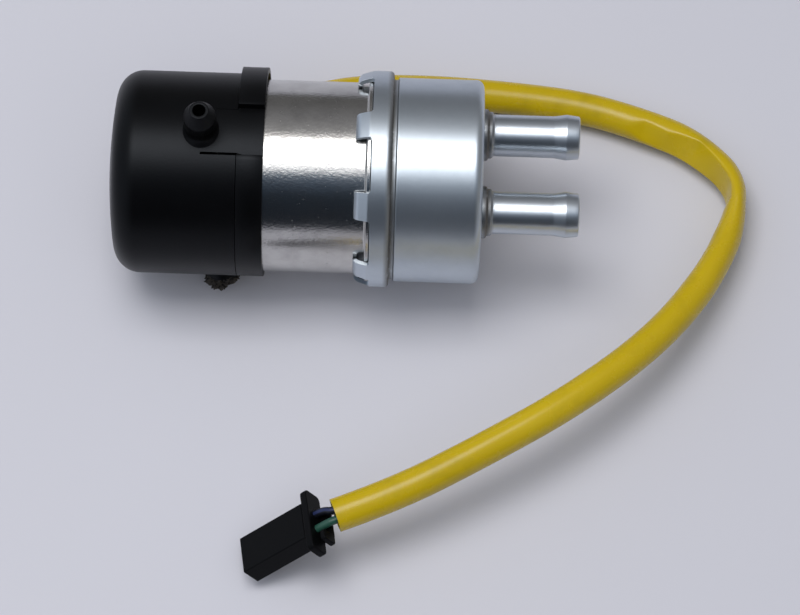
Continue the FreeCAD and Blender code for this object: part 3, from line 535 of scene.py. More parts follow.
FINISHES = {finish.name: finish for finish in (
    Moulded("cap_plastic", (0.0010, 0.0010, 0.0011), (0.0020, 0.0020, 0.0023), 0.37),
    Moulded("connector_plastic", (0.0020, 0.0020, 0.0022), (0.0036, 0.0037, 0.0041), 0.5,
            grain=1800.0, depth=0.00003, level=0.08),
    Foam("vent_foam", (0.066, 0.058, 0.050)),
    Plated("can_plate", (0.63, 0.62, 0.60), (0.42, 0.41, 0.40), 0.18, mottle=0.6, pits=0.8,
           lines=0.5, waves=0.000018, grain=0.00003),
    # The housing's band paints grime and painted shade on the ring's rounded shoulder and the
    # groove behind it; the ports' band does the same on the collar and waist.
    Plated("housing_zinc", (0.58, 0.64, 0.70), (0.46, 0.52, 0.58), 0.37, mottle=0.3, pits=0.15,
           lines=0.8, line_depth=0.000006, grime_shade_bands=((0.0159, 0.0012),)),
    Plated("port_zinc", (0.61, 0.66, 0.72), (0.49, 0.54, 0.59), 0.32, mottle=0.2, pits=0.1,
           lines=0.8, line_depth=0.000006, grime_shade_bands=((0.0347, 0.0016),)),
    Plain("inner_steel", (0.55, 0.55, 0.54), 1.0, 0.32),
    Plain("brass", (0.78, 0.58, 0.25), 1.0, 0.28),
    Plain("bobbin_plastic", (0.55, 0.50, 0.40), 0.0, 0.45),
    Plain("rubber", (0.018, 0.018, 0.018), 0.0, 0.65, 1800.0, 0.00003),
    Plain("knob_plastic", (0.60, 0.58, 0.52), 0.0, 0.4),
    Plain("die_casting", (0.50, 0.51, 0.52), 0.9, 0.5, 2400.0, 0.00003),
    Plain("condenser_can", (0.62, 0.63, 0.63), 1.0, 0.3),
    Wound("copper_wire", (0.72, 0.30, 0.12)),
    Vinyl("sleeve_vinyl", (0.550, 0.393, 0.003), (0.38, 0.280, 0.003), (0.60, 0.434, 0.008)),
    Insulation("wire_black", (0.006, 0.007, 0.012), (0.012, 0.020, 0.080)),
    Insulation("wire_green", (0.018, 0.078, 0.055), (0.018, 0.078, 0.055)))}


@cache
def material(slot: str) -> bpy.types.Material:
    """The material of a slot, built at its first use."""
    return FINISHES[slot].material()


def dress(thing: bpy.types.Object, slot: str) -> None:
    """Gives an object one material all over."""
    thing.data.materials.clear()
    thing.data.materials.append(material(slot))


# Surfaces


def ring_angles(columns: int = 192) -> np.ndarray:
    """Evenly spaced angles round a whole turn."""
    return np.arange(columns) * TURN / columns


def wrap_places(rows: int, columns: int) -> np.ndarray:
    """Each point of a grid as its shares of the rows and of the columns, for the UV map."""
    places = np.meshgrid(np.arange(rows) / rows, np.arange(columns) / columns, indexing="ij")
    return np.stack([part.ravel() for part in places], 1)


class Skin:
    """Gathers grids of points, in millimetres, into the mesh of one piece."""

    def __init__(self, name: str) -> None:
        """Starts an empty piece.

        Args:
            name: the piece's name.
        """
        self.name = name
        self.points: list[np.ndarray] = []
        self.faces: list[np.ndarray] = []
        self.wraps: list[np.ndarray] = []

    def _take(self, points: np.ndarray, faces: np.ndarray, wrap: np.ndarray) -> "Skin":
        """Keeps part of the piece.

        Args:
            points: its points.
            faces: its faces, four of the points' numbers each.
            wrap: the points' places in the UV map.

        Returns:
            The same skin.
        """
        self.faces.append(faces.reshape(-1, 4) + sum(map(len, self.points)))
        self.points.append(points)
        self.wraps.append(wrap)
        return self

    def add(self, grid: np.ndarray, shape: Shape = Shape.RING) -> "Skin":
        """Adds a grid, whose neighbours in rows and columns become the corners of faces.

        Args:
            grid: the points, as rows, columns and x, y, z.
            shape: whether the last row joins the first and the last column the first.

        Returns:
            The same skin.
        """
        rows, columns = grid.shape[:2]
        loop, ring = shape.value
        index = np.arange(rows * columns).reshape(rows, columns)
        here, down = (index, np.roll(index, -1, 0)) if loop else (index[:-1], index[1:])
        corners = np.stack([here, np.roll(here, -1, 1), np.roll(down, -1, 1), down], -1)
        return self._take(grid.reshape(-1, 3), corners if ring else corners[:, :-1],
                          wrap_places(rows, columns))

    def add_sheet(self, outer: np.ndarray, inner: np.ndarray,
                  cells: Optional[np.ndarray] = None) -> "Skin":
        """Adds a sheet with thickness, closed all round, that may have cells cut out of it.

        Outer and inner faces are the grid's cells, and wherever a cell has no neighbour a
        face joins the outer grid's edge to the inner grid's.

        Args:
            outer: the outer points, as rows, columns and x, y, z; the columns form a ring.
            inner: the inner points, in the same order.
            cells: for each row but the last and each column, whether the cell is there.

        Returns:
            The same skin.
        """
        rows, columns = outer.shape[:2]
        there = np.ones((rows - 1, columns), bool) if cells is None else cells
        here = np.arange(rows * columns).reshape(rows, columns)
        beside, under = np.roll(here, -1, 1), rows * columns
        front = np.stack([here[:-1], beside[:-1], beside[1:], here[1:]], -1)[there]
        blank = np.zeros((1, columns), bool)
        level = np.concatenate([blank, there]) != np.concatenate([there, blank])
        ends = np.stack([here, beside, beside + under, here + under], -1)[level]
        upright = there != np.roll(there, 1, 1)
        sides = np.stack([here[:-1], here[1:], here[1:] + under, here[:-1] + under], -1)[upright]
        used, faces = np.unique(np.concatenate([front, front[:, ::-1] + under, ends, sides]),
                                return_inverse=True)
        wrap = np.tile(wrap_places(rows, columns), (2, 1))
        points = np.concatenate([outer, inner]).reshape(-1, 3)
        return self._take(points[used], faces, wrap[used])

    def piece(self, sharp: float = 32.0) -> bpy.types.Object:
        """Puts the gathered grids into one closed mesh with smooth faces.

        Args:
            sharp: the angle in degrees from which an edge stays sharp.

        Returns:
            The object, at the origin.
        """
        points = np.concatenate(self.points) * MM
        faces = np.concatenate(self.faces)
        mesh = bpy.data.meshes.new(self.name)
        mesh.from_pydata(points.tolist(), [], faces.tolist())
        layer = mesh.uv_layers.new(name="wrap")
        layer.data.foreach_set("uv", np.concatenate(self.wraps)[faces.ravel()].ravel())
        work = bmesh.new()
        work.from_mesh(mesh)
        bmesh.ops.remove_doubles(work, verts=work.verts, dist=WELD_DISTANCE)
        bmesh.ops.dissolve_degenerate(work, edges=work.edges, dist=SHORTEST_EDGE)
        bmesh.ops.recalc_face_normals(work, faces=work.faces)
        work.to_mesh(mesh)
        work.free()
        mesh.polygons.foreach_set("use_smooth", np.ones(len(mesh.polygons), bool))
        mesh.set_sharp_from_angle(angle=math.radians(sharp))
        mesh.update()
        made = bpy.data.objects.new(self.name, mesh)
        bpy.context.scene.collection.objects.link(made)
        log.info("%s: %d faces", self.name, len(mesh.polygons))
        return made


def rounded(corners: Sequence[Sequence[float]], radii: Sequence[float], steps: int = 6,
            spacing: float = 0.0) -> np.ndarray:
    """A turned piece's profile with its corners rounded, as an array of points.

    Each corner becomes an arc of its radius that meets both runs, with the radius made smaller
    where a run is too short for it. At share t of an arc that turns by angle g, the point is
    centre + radius (sin((1 - t) g) from + sin(t g) to) / sin g, where from and to are the
    directions of the arc's two ends from its centre.

    Args:
        corners: the corners in order; the first and last stay as they are.
        radii: the radius at each corner.
        steps: the number of runs in each arc.
        spacing: the longest straight run left undivided, or 0 for any.

    Returns:
        The points, one row each.
    """
    points = np.asarray(corners, float)
    radius = np.asarray(radii, float)[1:-1, None]
    back, ahead = points[:-2] - points[1:-1], points[2:] - points[1:-1]
    back_run = np.linalg.norm(back, axis=1, keepdims=True)
    ahead_run = np.linalg.norm(ahead, axis=1, keepdims=True)
    back, ahead = back / back_run, ahead / ahead_run
    half = np.arccos(np.clip((back * ahead).sum(1, keepdims=True), -1, 1)) / 2
    reach = np.minimum(radius / np.tan(half), ARC_SHARE * np.minimum(back_run, ahead_run))
    radius = np.maximum(reach * np.tan(half), LEAST_LENGTH)
    middle = back + ahead
    middle /= np.maximum(np.linalg.norm(middle, axis=1, keepdims=True), LEAST_LENGTH)
    centre = points[1:-1] + middle * radius / np.sin(half)
    first = (points[1:-1] + back * reach - centre)[:, None]
    last = (points[1:-1] + ahead * reach - centre)[:, None]
    turn = np.maximum(math.pi - 2 * half, LEAST_TURN)[:, None]
    t = np.linspace(0, 1, steps + 1)[None, :, None]
    curve = centre[:, None] + (np.sin((1 - t) * turn) * first
                               + np.sin(t * turn) * last) / np.sin(turn)
    line = np.concatenate([points[:1], curve.reshape(-1, points.shape[1]), points[-1:]])
    step = np.linalg.norm(np.diff(line, axis=0), axis=1)
    line = line[np.concatenate([[True], step > LEAST_STEP])]
    if spacing <= 0:
        return line
    run = np.linalg.norm(np.diff(line, axis=0), axis=1)
    place = np.concatenate([[0.0], np.cumsum(run)])
    parts = np.maximum(np.ceil(run / spacing), 1).astype(int)
    start, share = np.repeat(place[:-1], parts), np.repeat(run / parts, parts)
    count = np.arange(parts.sum()) - np.repeat(np.cumsum(parts) - parts, parts)
    wanted = np.append(start + share * count, place[-1])
    return np.stack([np.interp(wanted, place, part) for part in line.T], 1)


@dataclass(frozen=True)
class Outline:
    """A profile as a field: its corners, the radius at each and the longest undivided run."""

    corners: tuple[tuple[float, float], ...]
    radii: tuple[float, ...]
    spacing: float

    def points(self) -> np.ndarray:
        """The profile's points."""
        return rounded(self.corners, self.radii, spacing=self.spacing)


def moved_in(profile: np.ndarray, wall: float) -> np.ndarray:
    """A profile moved to its right-hand side, as seen along it, by the wall's thickness.

    With n and m the normals of the runs before and after a point, it moves by
    wall times 2 (n + m) over the square of the length of n + m.

    Args:
        profile: the points, (x, radius).
        wall: the thickness.

    Returns:
        The moved points, as many as before.
    """
    step = np.diff(profile, axis=0)
    step /= np.linalg.norm(step, axis=1, keepdims=True)
    normal = np.stack([step[:, 1], -step[:, 0]], 1)
    total = np.concatenate([normal[:1], normal]) + np.concatenate([normal, normal[-1:]])
    return profile + wall * 2 * total / (total * total).sum(1, keepdims=True)


def turned(profile: np.ndarray, angle: np.ndarray,
           centre: tuple[float, float] = (0.0, 0.0)) -> np.ndarray:
    """A profile of (x, radius) turned round a line along X, as a grid of points.

    The point at angle a, from +Z towards +Y, is (x, y0 + radius sin a, z0 + radius cos a).

    Args:
        profile: the rows, (x, radius).
        angle: the columns' angles in radians, one row of them or one for each point.
        centre: y and z of the line.

    Returns:
        The grid, rows by columns.
    """
    x, radius = profile[:, :1], profile[:, 1:]
    angle = np.broadcast_to(angle, (len(profile), np.shape(angle)[-1]))
    return np.stack(np.broadcast_arrays(x, centre[0] + radius * np.sin(angle),
                                        centre[1] + radius * np.cos(angle)), -1)


def stood(profile: np.ndarray, foot: Sequence[float], axis: Sequence[float],
          columns: int = 96) -> np.ndarray:
    """A profile of (height, radius) turned round a line that stands in any direction.

    With u along X and v across both, the point is foot + height axis + radius (u cos a + v sin a).

    Args:
        profile: the rows, (height, radius).
        foot: a point on the line.
        axis: the line's direction, square to X and of length 1.
        columns: how many angles.

    Returns:
        The grid, rows by columns.
    """
    up, level = np.asarray(axis, float), np.array([1.0, 0.0, 0.0])
    angle = ring_angles(columns)[:, None]
    ring = np.cos(angle) * level + np.sin(angle) * np.cross(up, level)
    return np.asarray(foot, float) + profile[:, :1, None] * up + profile[:, 1:, None] * ring


def bar(line: np.ndarray, radius: float, first: np.ndarray, second: np.ndarray,
        columns: int) -> np.ndarray:
    """A round bar along a line, as a grid of points that closes at the bar's ends.

    The point at angle a is line + radius (cos a first + sin a second). The first and last rows
    are the line's own ends.

    Args:
        line: the bar's middle, a point for each row.
        radius: the bar's radius.
        first: the direction at angle 0, for each row or for all.
        second: the direction a quarter turn on.
        columns: how many angles.

    Returns:
        The grid, rows by columns.
    """
    angle = ring_angles(columns)[:, None]
    first, second = (np.broadcast_to(part, line.shape)[:, None] for part in (first, second))
    wall = line[:, None] + radius * (np.cos(angle) * first + np.sin(angle) * second)
    ends = np.repeat(line[[0, -1]], columns, 0).reshape(2, columns, 3)
    return np.concatenate([ends[:1], wall, ends[1:]])


def bevelled(thing: bpy.types.Object, width: float, weld: bool = False) -> None:
    """Rounds the hard edges of a piece or node with modifiers.

    Args:
        thing: the object.
        width: the width of the bevel in millimetres.
        weld: whether its loose triangles are joined first, as a node's are.
    """
    if weld:
        thing.modifiers.new("join", "WELD").merge_threshold = SHORTEST_EDGE
    bevel = thing.modifiers.new("edges", "BEVEL")
    bevel.width, bevel.segments = width * MM, BEVEL_SEGMENTS
    bevel.limit_method, bevel.angle_limit = "ANGLE", math.radians(BEVELLED_FROM)
    bevel.harden_normals = False


def placed(thing: bpy.types.Object, slot: str, body: Body, *nodes: str) -> bpy.types.Object:
    """Dresses a piece, lets it ride on its body and has it stand for its nodes.

    Args:
        thing: the piece.
        slot: the piece's finish.
        body: the body that it rides on.
        nodes: the nodes that it stands for.

    Returns:
        The piece.
    """
    dress(thing, slot)
    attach(thing, body.value)
    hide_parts(*nodes)
    return thing


def blended(thing: bpy.types.Object, slot: str, node: str, body: Body,
            start: Sequence[float], end: Sequence[float]) -> None:
    """Dresses a piece that stands for a node, hides the node and bakes the piece's transform into
    its mesh.

    Args:
        thing: the piece.
        slot: the piece's finish.
        node: the node that it stands for.
        body: the moving body; not used.
        start: a point in millimetres; it is turned into metres, and the result is not used.
        end: another point in millimetres, treated the same way.
    """
    dress(thing, slot)
    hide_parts(node)
    tuple(MM * part for part in start)
    tuple(MM * part for part in end)
    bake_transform(thing)


# Camera, light and table


@dataclass(frozen=True)
class SoftBox:
    """A flat light that faces down from above the pump; lengths are metres."""

    name: str
    centre: tuple[float, float]
    size: tuple[float, float]
    energy: float
    colour: Colour = (1.0, 0.985, 0.97)
    mirrored: bool = True
    height: float = 1.0


@dataclass
class Studio:
    """Camera at the photograph's angle, soft boxes overhead, and a plain pale table."""

    elevation: float = 67.5
    roll: float = 1.87
    focal_pixels: float = 3290.0
    place: tuple[float, float, float] = (18.42, -272.06, 590.86)
    sensor: float = 36.0
    clip: tuple[float, float] = (0.01, 20.0)
    table_colour: Colour = (0.60, 0.60, 0.66)
    table_pale: float = 1.06
    table_half: float = 2500.0
    table_roughness: float = 0.62
    boxes: tuple[SoftBox, ...] = (
        SoftBox("soft_box", (-0.193, 0.085), (0.59, 0.460), 4.9),
        SoftBox("soft_box_edge", (-0.200, 0.045), (0.80, 0.79), 2.2),
        SoftBox("fill", (0.10, -0.85), (1.5, 0.9), 3.0, (1.0, 0.99, 0.98), False))
    room: tuple[tuple[float, Colour], ...] = (
        (0.0, (0.014, 0.018, 0.026)), (0.13, (0.018, 0.026, 0.038)),
        (0.235, (0.052, 0.076, 0.115)), (0.31, (0.150, 0.200, 0.270)),
        (0.42, (0.260, 0.320, 0.410)), (0.715, (0.36, 0.36, 0.37)), (0.81, (0.29, 0.29, 0.30)),
        (0.89, (0.22, 0.22, 0.23)), (0.957, (0.17, 0.17, 0.175)), (1.0, (0.12, 0.12, 0.12)))
    left_side: Colour = (0.52, 0.56, 0.63)
    right_side: Colour = (0.27, 0.265, 0.26)
    side_span: tuple[float, float] = (0.22, 0.75)

    def make_camera(self) -> None:
        """Places the camera; its axes are the elevation's, turned by the roll."""
        data = bpy.data.cameras.new("camera")
        data.sensor_fit = "HORIZONTAL"
        data.sensor_width = self.sensor
        data.lens = self.focal_pixels * self.sensor / IMAGE_WIDTH
        data.clip_start, data.clip_end = self.clip
        rise, roll = math.radians(self.elevation), math.radians(self.roll)
        back = Vector((0.0, -math.cos(rise), math.sin(rise)))
        level = Vector((1.0, 0.0, 0.0))
        upright = back.cross(level)
        right = math.cos(roll) * level + math.sin(roll) * upright
        up = -math.sin(roll) * level + math.cos(roll) * upright
        turn = Matrix((right, up, back)).transposed()
        camera = bpy.data.objects.new("camera", data)
        camera.matrix_world = Matrix.Translation(Vector(self.place) * MM) @ turn.to_4x4()
        bpy.context.scene.collection.objects.link(camera)
        bpy.context.scene.camera = camera

    def make_light(self) -> None:
        """A bright soft box in a wider dim one, a dim fill that metal doesn't mirror, and a room.

        The room's colour is a ramp along Y, dark towards the camera, and its two sides are
        brighter, the left one bluish.
        """
        for box in self.boxes:
            data = bpy.data.lights.new(box.name, "AREA")
            data.shape, data.size, data.size_y = "RECTANGLE", *box.size
            data.energy, data.color = box.energy, box.colour
            light = bpy.data.objects.new(box.name, data)
            light.location = (*box.centre, box.height)
            light.visible_glossy = box.mirrored
            bpy.context.scene.collection.objects.link(light)
        world = bpy.data.worlds.new("studio")
        board = Board(world, "Generated")
        middle = board.ramp(board.axis("Y") * 0.5 + 0.5, self.room)
        across = board.axis("X")
        near, far = self.side_span
        left = board.blend(across.ramp(-near, -far), middle, self.left_side)
        colour = board.blend(across.ramp(near, far), left, self.right_side)
        back = board.node("ShaderNodeBackground", None, {"Color": colour})
        board.node("ShaderNodeOutputWorld", None, {"Surface": back.outputs[0]})
        bpy.context.scene.world = world

    def make_table(self) -> None:
        """A flat table a little under the object."""
        board = Board(bpy.data.materials.new("table"))
        grain = board.noise(900.0, detail=3.0, roughness=0.6)
        broad = board.noise(5.0, detail=2.0, roughness=0.5)
        pale = tuple(self.table_pale * part for part in self.table_colour)
        colour = board.blend(broad, self.table_colour, pale)
        side = np.linspace(-self.table_half, self.table_half, 3)
        x, y = np.meshgrid(side, side, indexing="xy")
        flat = np.stack([x, y, np.full_like(x, TABLE_Z)], -1)
        table = Skin("table").add(flat, Shape.OPEN).piece()
        table.data.materials.append(board.surface(
            Base_Color=colour, Roughness=self.table_roughness,
            Normal=board.bump(grain, depth=0.00003, strength=0.4)))

    def make(self) -> None:
        """Camera, light, table and the way light becomes colour."""
        self.make_camera()
        self.make_light()
        self.make_table()
        view = bpy.context.scene.view_settings
        view.view_transform = "Standard"
        view.look = "None"
        log.info("studio")


# The lead


def route_line(points: Sequence[Sequence[float]]) -> np.ndarray:
    """Points read along a smooth NURBS spline with the given control points.

    Args:
        points: the control points in metres.

    Returns:
        The points along the spline, in millimetres.
    """
    curve = bpy.data.curves.new("route", "CURVE")
    curve.dimensions = "3D"
    spline = curve.splines.new("NURBS")
    spline.points.add(len(points) - 1)
    flat = np.hstack([np.asarray(points, float), np.ones((len(points), 1))])
    spline.points.foreach_set("co", flat.ravel())
    spline.order_u = 3
    spline.use_endpoint_u = True
    spline.resolution_u = SPLINE_STEPS
    carrier = bpy.data.objects.new("route", curve)
    mesh = bpy.data.meshes.new_from_object(carrier)
    read = np.zeros(len(mesh.vertices) * 3)
    mesh.vertices.foreach_get("co", read)
    bpy.data.objects.remove(carrier)
    bpy.data.curves.remove(curve)
    bpy.data.meshes.remove(mesh)
    return read.reshape(-1, 3) / MM


def along(line: np.ndarray) -> tuple[np.ndarray, np.ndarray, np.ndarray]:
    """Distance, side and up directions along a line of points.

    The side is the line's tangent crossed with +Z, and up is the side crossed with the tangent.

    Args:
        line: the points, one row each.

    Returns:
        The distance from the start, the side directions and the up directions.
    """
    run = np.linalg.norm(np.diff(line, axis=0), axis=1)
    distance = np.concatenate([[0.0], np.cumsum(run)])
    tangent = np.gradient(line, distance, axis=0)
    tangent /= np.linalg.norm(tangent, axis=1, keepdims=True)
    side = np.cross(tangent, np.array([0.0, 0.0, 1.0]))
    side /= np.linalg.norm(side, axis=1, keepdims=True)
    return distance, side, np.cross(side, tangent)


@dataclass(frozen=True)
class Block:
    """A straight block of the connector, with its corners rounded as seen along x."""

    x: tuple[float, float]
    y: tuple[float, float]
    z: tuple[float, float]
    corner: float

    def grid(self) -> np.ndarray:
        """The outline in y and z at both ends of x, with each end drawn in to its middle.

        Returns:
            The grid.
        """
        (y0, y1), (z0, z1) = self.y, self.z
        middle = (y0 + y1) / 2
        loop = rounded([(middle, z0), (y1, z0), (y1, z1), (y0, z1), (y0, z0), (middle, z0)],
                       [0, *[self.corner] * 4, 0], 5)[:-1]
        centre = np.broadcast_to(loop.mean(0), loop.shape)
        x = np.broadcast_to(np.repeat(self.x, 2)[:, None, None], (4, len(loop), 1))
        return np.concatenate([x, np.stack([centre, loop, loop, centre])], -1)


@dataclass(frozen=True)
class Connector:
    """The two-pole connector, made in a frame of its own and laid where the lead ends.

    In that frame x runs towards the wires and y across the two poles. The place and the
    directions of x and y are in the pump's frame. Lengths are millimetres.
    """

    place: tuple[float, float, float] = (2.5, -69.1, -9.85)
    along: tuple[float, float, float] = (0.776, 0.312, 0.548)
    across: tuple[float, float, float] = (-0.150, 0.935, -0.320)
    pitch: float = 3.6
    length: float = 15.3
    half_width: float = 4.14
    half_height: float = 2.2
    socket_y: tuple[float, float] = (0.45, 3.15)
    socket_half_height: float = 1.2
    floors: tuple[Block, ...] = (Block((-3.3, -2.3), (-3.25, -0.35), (-1.3, 1.3), 0.1),
                                 Block((-3.3, -2.3), (0.35, 3.25), (-1.3, 1.3), 0.1))
    flange: Block = Block((0.0, 1.5), (-7.05, 6.95), (-2.2, 2.2), 0.85)
    bridge: Block = Block((0.5, 3.85), (-4.14, 2.1), (-2.2, -1.2), 0.15)
    latch: Block = Block((2.75, 3.85), (-5.8, -3.5), (-2.2, 1.3), 0.6)
    bevel: float = 0.22

    def laid(self, points: np.ndarray) -> np.ndarray:
        """Points of the connector's frame, turned and moved into the pump's."""
        axes = np.stack([self.along, self.across, np.cross(self.along, self.across)])
        return points @ axes + np.asarray(self.place)

    def make(self) -> bpy.types.Object:
        """Builds the connector: a body with two sockets, their floors, flange, bridge and latch.

        The body is a flat grid in y and z with the cells of the sockets left out, thickened
        along x.

        Returns:
            The connector.
        """
        inner, outer = self.socket_y
        y = np.array([-self.half_width, -outer, -inner, inner, outer, self.half_width])
        z = np.array([-self.half_height, -self.socket_half_height, self.socket_half_height,
                      self.half_height])
        grid_y, grid_z = np.meshgrid(y, z, indexing="ij")
        rear, front = (self.laid(np.stack([np.full_like(grid_y, x), grid_y, grid_z], -1))
                       for x in (-self.length, 0.0))
        cells = np.ones((len(y) - 1, len(z)), bool)
        cells[:, -1] = False
        cells[[1, 3], 1] = False
        skin = Skin("connector").add_sheet(rear, front, cells)
        for block in (*self.floors, self.flange, self.bridge, self.latch):
            skin.add(self.laid(block.grid()))
        made = placed(skin.piece(sharp=30.0), "connector_plastic", Body.PUMP, "connector_housing")
        bevelled(made, self.bevel)
        return made


@dataclass
class Lead:
    """The yellow sleeve with its two wires, which leaves the base and ends in the connector.

    Lengths are in millimetres, but the route's points are in metres.
    """

    route: Sequence[Sequence[float]] = (
        (-0.0114, 0.0205, -0.0091), (-0.0025, 0.0205, -0.0091), (0.0079, 0.0251, -0.0121),
        (0.0232, 0.0279, -0.0167), (0.0398, 0.0274, -0.0176), (0.0552, 0.0257, -0.0176),
        (0.0681, 0.0216, -0.0173), (0.0773, 0.0173, -0.0165), (0.0861, 0.0085, -0.0155),
        (0.0847, -0.0026, -0.0145), (0.0782, -0.0163, -0.0115), (0.0677, -0.0304, -0.0076),
        (0.0519, -0.0441, -0.0047), (0.0347, -0.0548, -0.0049), (0.0186, -0.0636, -0.0063),
        (0.0073, -0.0680, -0.0069))
    diameter: float = 6.7
    wall: float = 0.5
    length: float = 0.2201
    columns: int = 96
    softness: float = 0.1
    width_places: tuple[float, ...] = (0.0, 0.24, 0.34, 0.394, 0.425, 0.458, 0.494, 0.531,
                                       0.565, 0.60, 0.66, 1.0)
    widths: tuple[float, ...] = (6.65, 6.65, 6.8, 7.0, 6.6, 5.95, 4.2, 5.75, 6.05, 6.45, 6.5,
                                 6.65)
    panel_places: tuple[float, ...] = (0.0, 0.352, 0.370, 0.394, 0.425, 0.458, 0.478, 0.494,
                                       0.508, 1.0)
    panel_depths: tuple[float, ...] = (-0.6, -0.5, 0.75, 1.05, 1.70, 1.35, 1.15, 0.6, -0.5, -0.6)
    panel_leans: tuple[float, ...] = (40.0, 42.0, 42.0, 58.0, 50.0, 72.0, 82.0, 88.0, 90.0, 90.0)
    wire_diameter: float = 1.6
    wire_offset: float = 0.95
    wire_twist_points: int = 3
    wire_straight: float = 3.1
    wire_columns: int = 24
    plug: Connector = Connector()
    entry: tuple[tuple[float, float, float], ...] = ((-12.4, 11.82, -5.25), (-12.4, 20.5, -9.1))

    def section(self, distance: np.ndarray, inset: float) -> tuple[np.ndarray, np.ndarray]:
        """The sleeve's cross-sections, with the flat panel that the fold presses into it.

        A section starts as the ellipse (w cos a, h sin a), whose half width w is given along
        the route and whose half height 2r - w keeps the girth. The panel is a plane with its
        normal leaning from up towards the bend's inside, as far from the centre as the ellipse
        reaches less the panel's depth. A point that would stand over the plane by d moves back
        by (d + sqrt(d d + softness)) / 2.

        Args:
            distance: the distance of each section along the route.
            inset: how far inside the outer surface.

        Returns:
            The points' places to the side and up, as sections by columns.
        """
        share = distance / distance[-1]
        wide = np.interp(share, self.width_places, self.widths)[:, None] / 2
        high = self.diameter - wide
        angle = ring_angles(self.columns)[None]
        side = (wide - inset) * np.cos(angle)
        up = (high - inset) * np.sin(angle)
        lean = np.radians(np.interp(share, self.panel_places, self.panel_leans))[:, None]
        depth = np.interp(share, self.panel_places, self.panel_depths)[:, None]
        normal_side, normal_up = np.sin(lean), np.cos(lean)
        plane = np.hypot(wide * normal_side, high * normal_up) - depth - inset
        over = side * normal_side + up * normal_up - plane
        back = (over + np.sqrt(over * over + self.softness)) / 2
        return side - back * normal_side, up - back * normal_up

    def make_sleeve(self, line: np.ndarray) -> bpy.types.Object:
        """The sleeve: its sections carried along the route as line + across side + rise up.

        Args:
            line: the route's points in millimetres.

        Returns:
            The sleeve.
        """
        distance, side, up = along(line)
        shells = []
        for inset in (0.0, self.wall):
            across, rise = self.section(distance, inset)
            shells.append(line[:, None] + across[..., None] * side[:, None]
                          + rise[..., None] * up[:, None])
        made = Skin("sleeve").add_sheet(*shells).piece(sharp=60.0)
        return placed(made, "sleeve_vinyl", Body.PUMP, "cord_sleeve")

    def wire_points(self, side: float) -> np.ndarray:
        """The control points of one wire in metres, as the solid's.

        They are the route's points moved up or down by the wires' offset, which turns towards
        the connector's own direction over the last points, and the two points at its pole.

        Args:
            side: 1 for the black wire and -1 for the green one.

        Returns:
            The points.
        """
        route = np.asarray(self.route[1:]) / MM
        back = np.arange(len(route))[::-1]
        share = np.maximum(0.0, 1 - back / self.wire_twist_points)[:, None]
        across = np.asarray(self.plug.across)
        lift = np.array([0.0, 0.0, 1.0]) * (1 - share) + across * share
        lift /= np.linalg.norm(lift, axis=1, keepdims=True)
        outlet = np.asarray(self.entry[1]) * (0, 1, 1)
        first = np.cross([1.0, 0.0, 0.0], -outlet / np.linalg.norm(outlet))
        first *= self.wire_offset * side * np.sign(first[2])
        pole = np.asarray(self.plug.place) + across * side * self.plug.pitch / 2
        ends = pole + np.array([[self.wire_straight], [0.0]]) * np.asarray(self.plug.along)
        points = [np.asarray(self.entry) + first, route + lift * self.wire_offset * side, ends]
        return np.concatenate(points) * MM

    def make_wire(self, name: str, side: float) -> bpy.types.Object:
        """One wire: a bar along its line, with its seam underneath.

        Args:
            name: black or green.
            side: 1 for the upper wire and -1 for the lower.

        Returns:
            The wire.
        """
        line = route_line(self.wire_points(side).tolist())
        _, across, up = along(line)
        round_wire = bar(line, self.wire_diameter / 2, -up, -across, self.wire_columns)
        made = Skin(f"wire_{name}").add(round_wire).piece()
        return placed(made, f"wire_{name}", Body.PUMP, f"lead_wire_{name}")

    def make(self) -> None:
        line = route_line(self.route)
        sleeve = self.make_sleeve(line)
        wires = [self.make_wire("black", 1.0), self.make_wire("green", -1.0)]
        connector = self.plug.make()
        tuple(self.route[0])
        log.info("lead")


# The pump's shells


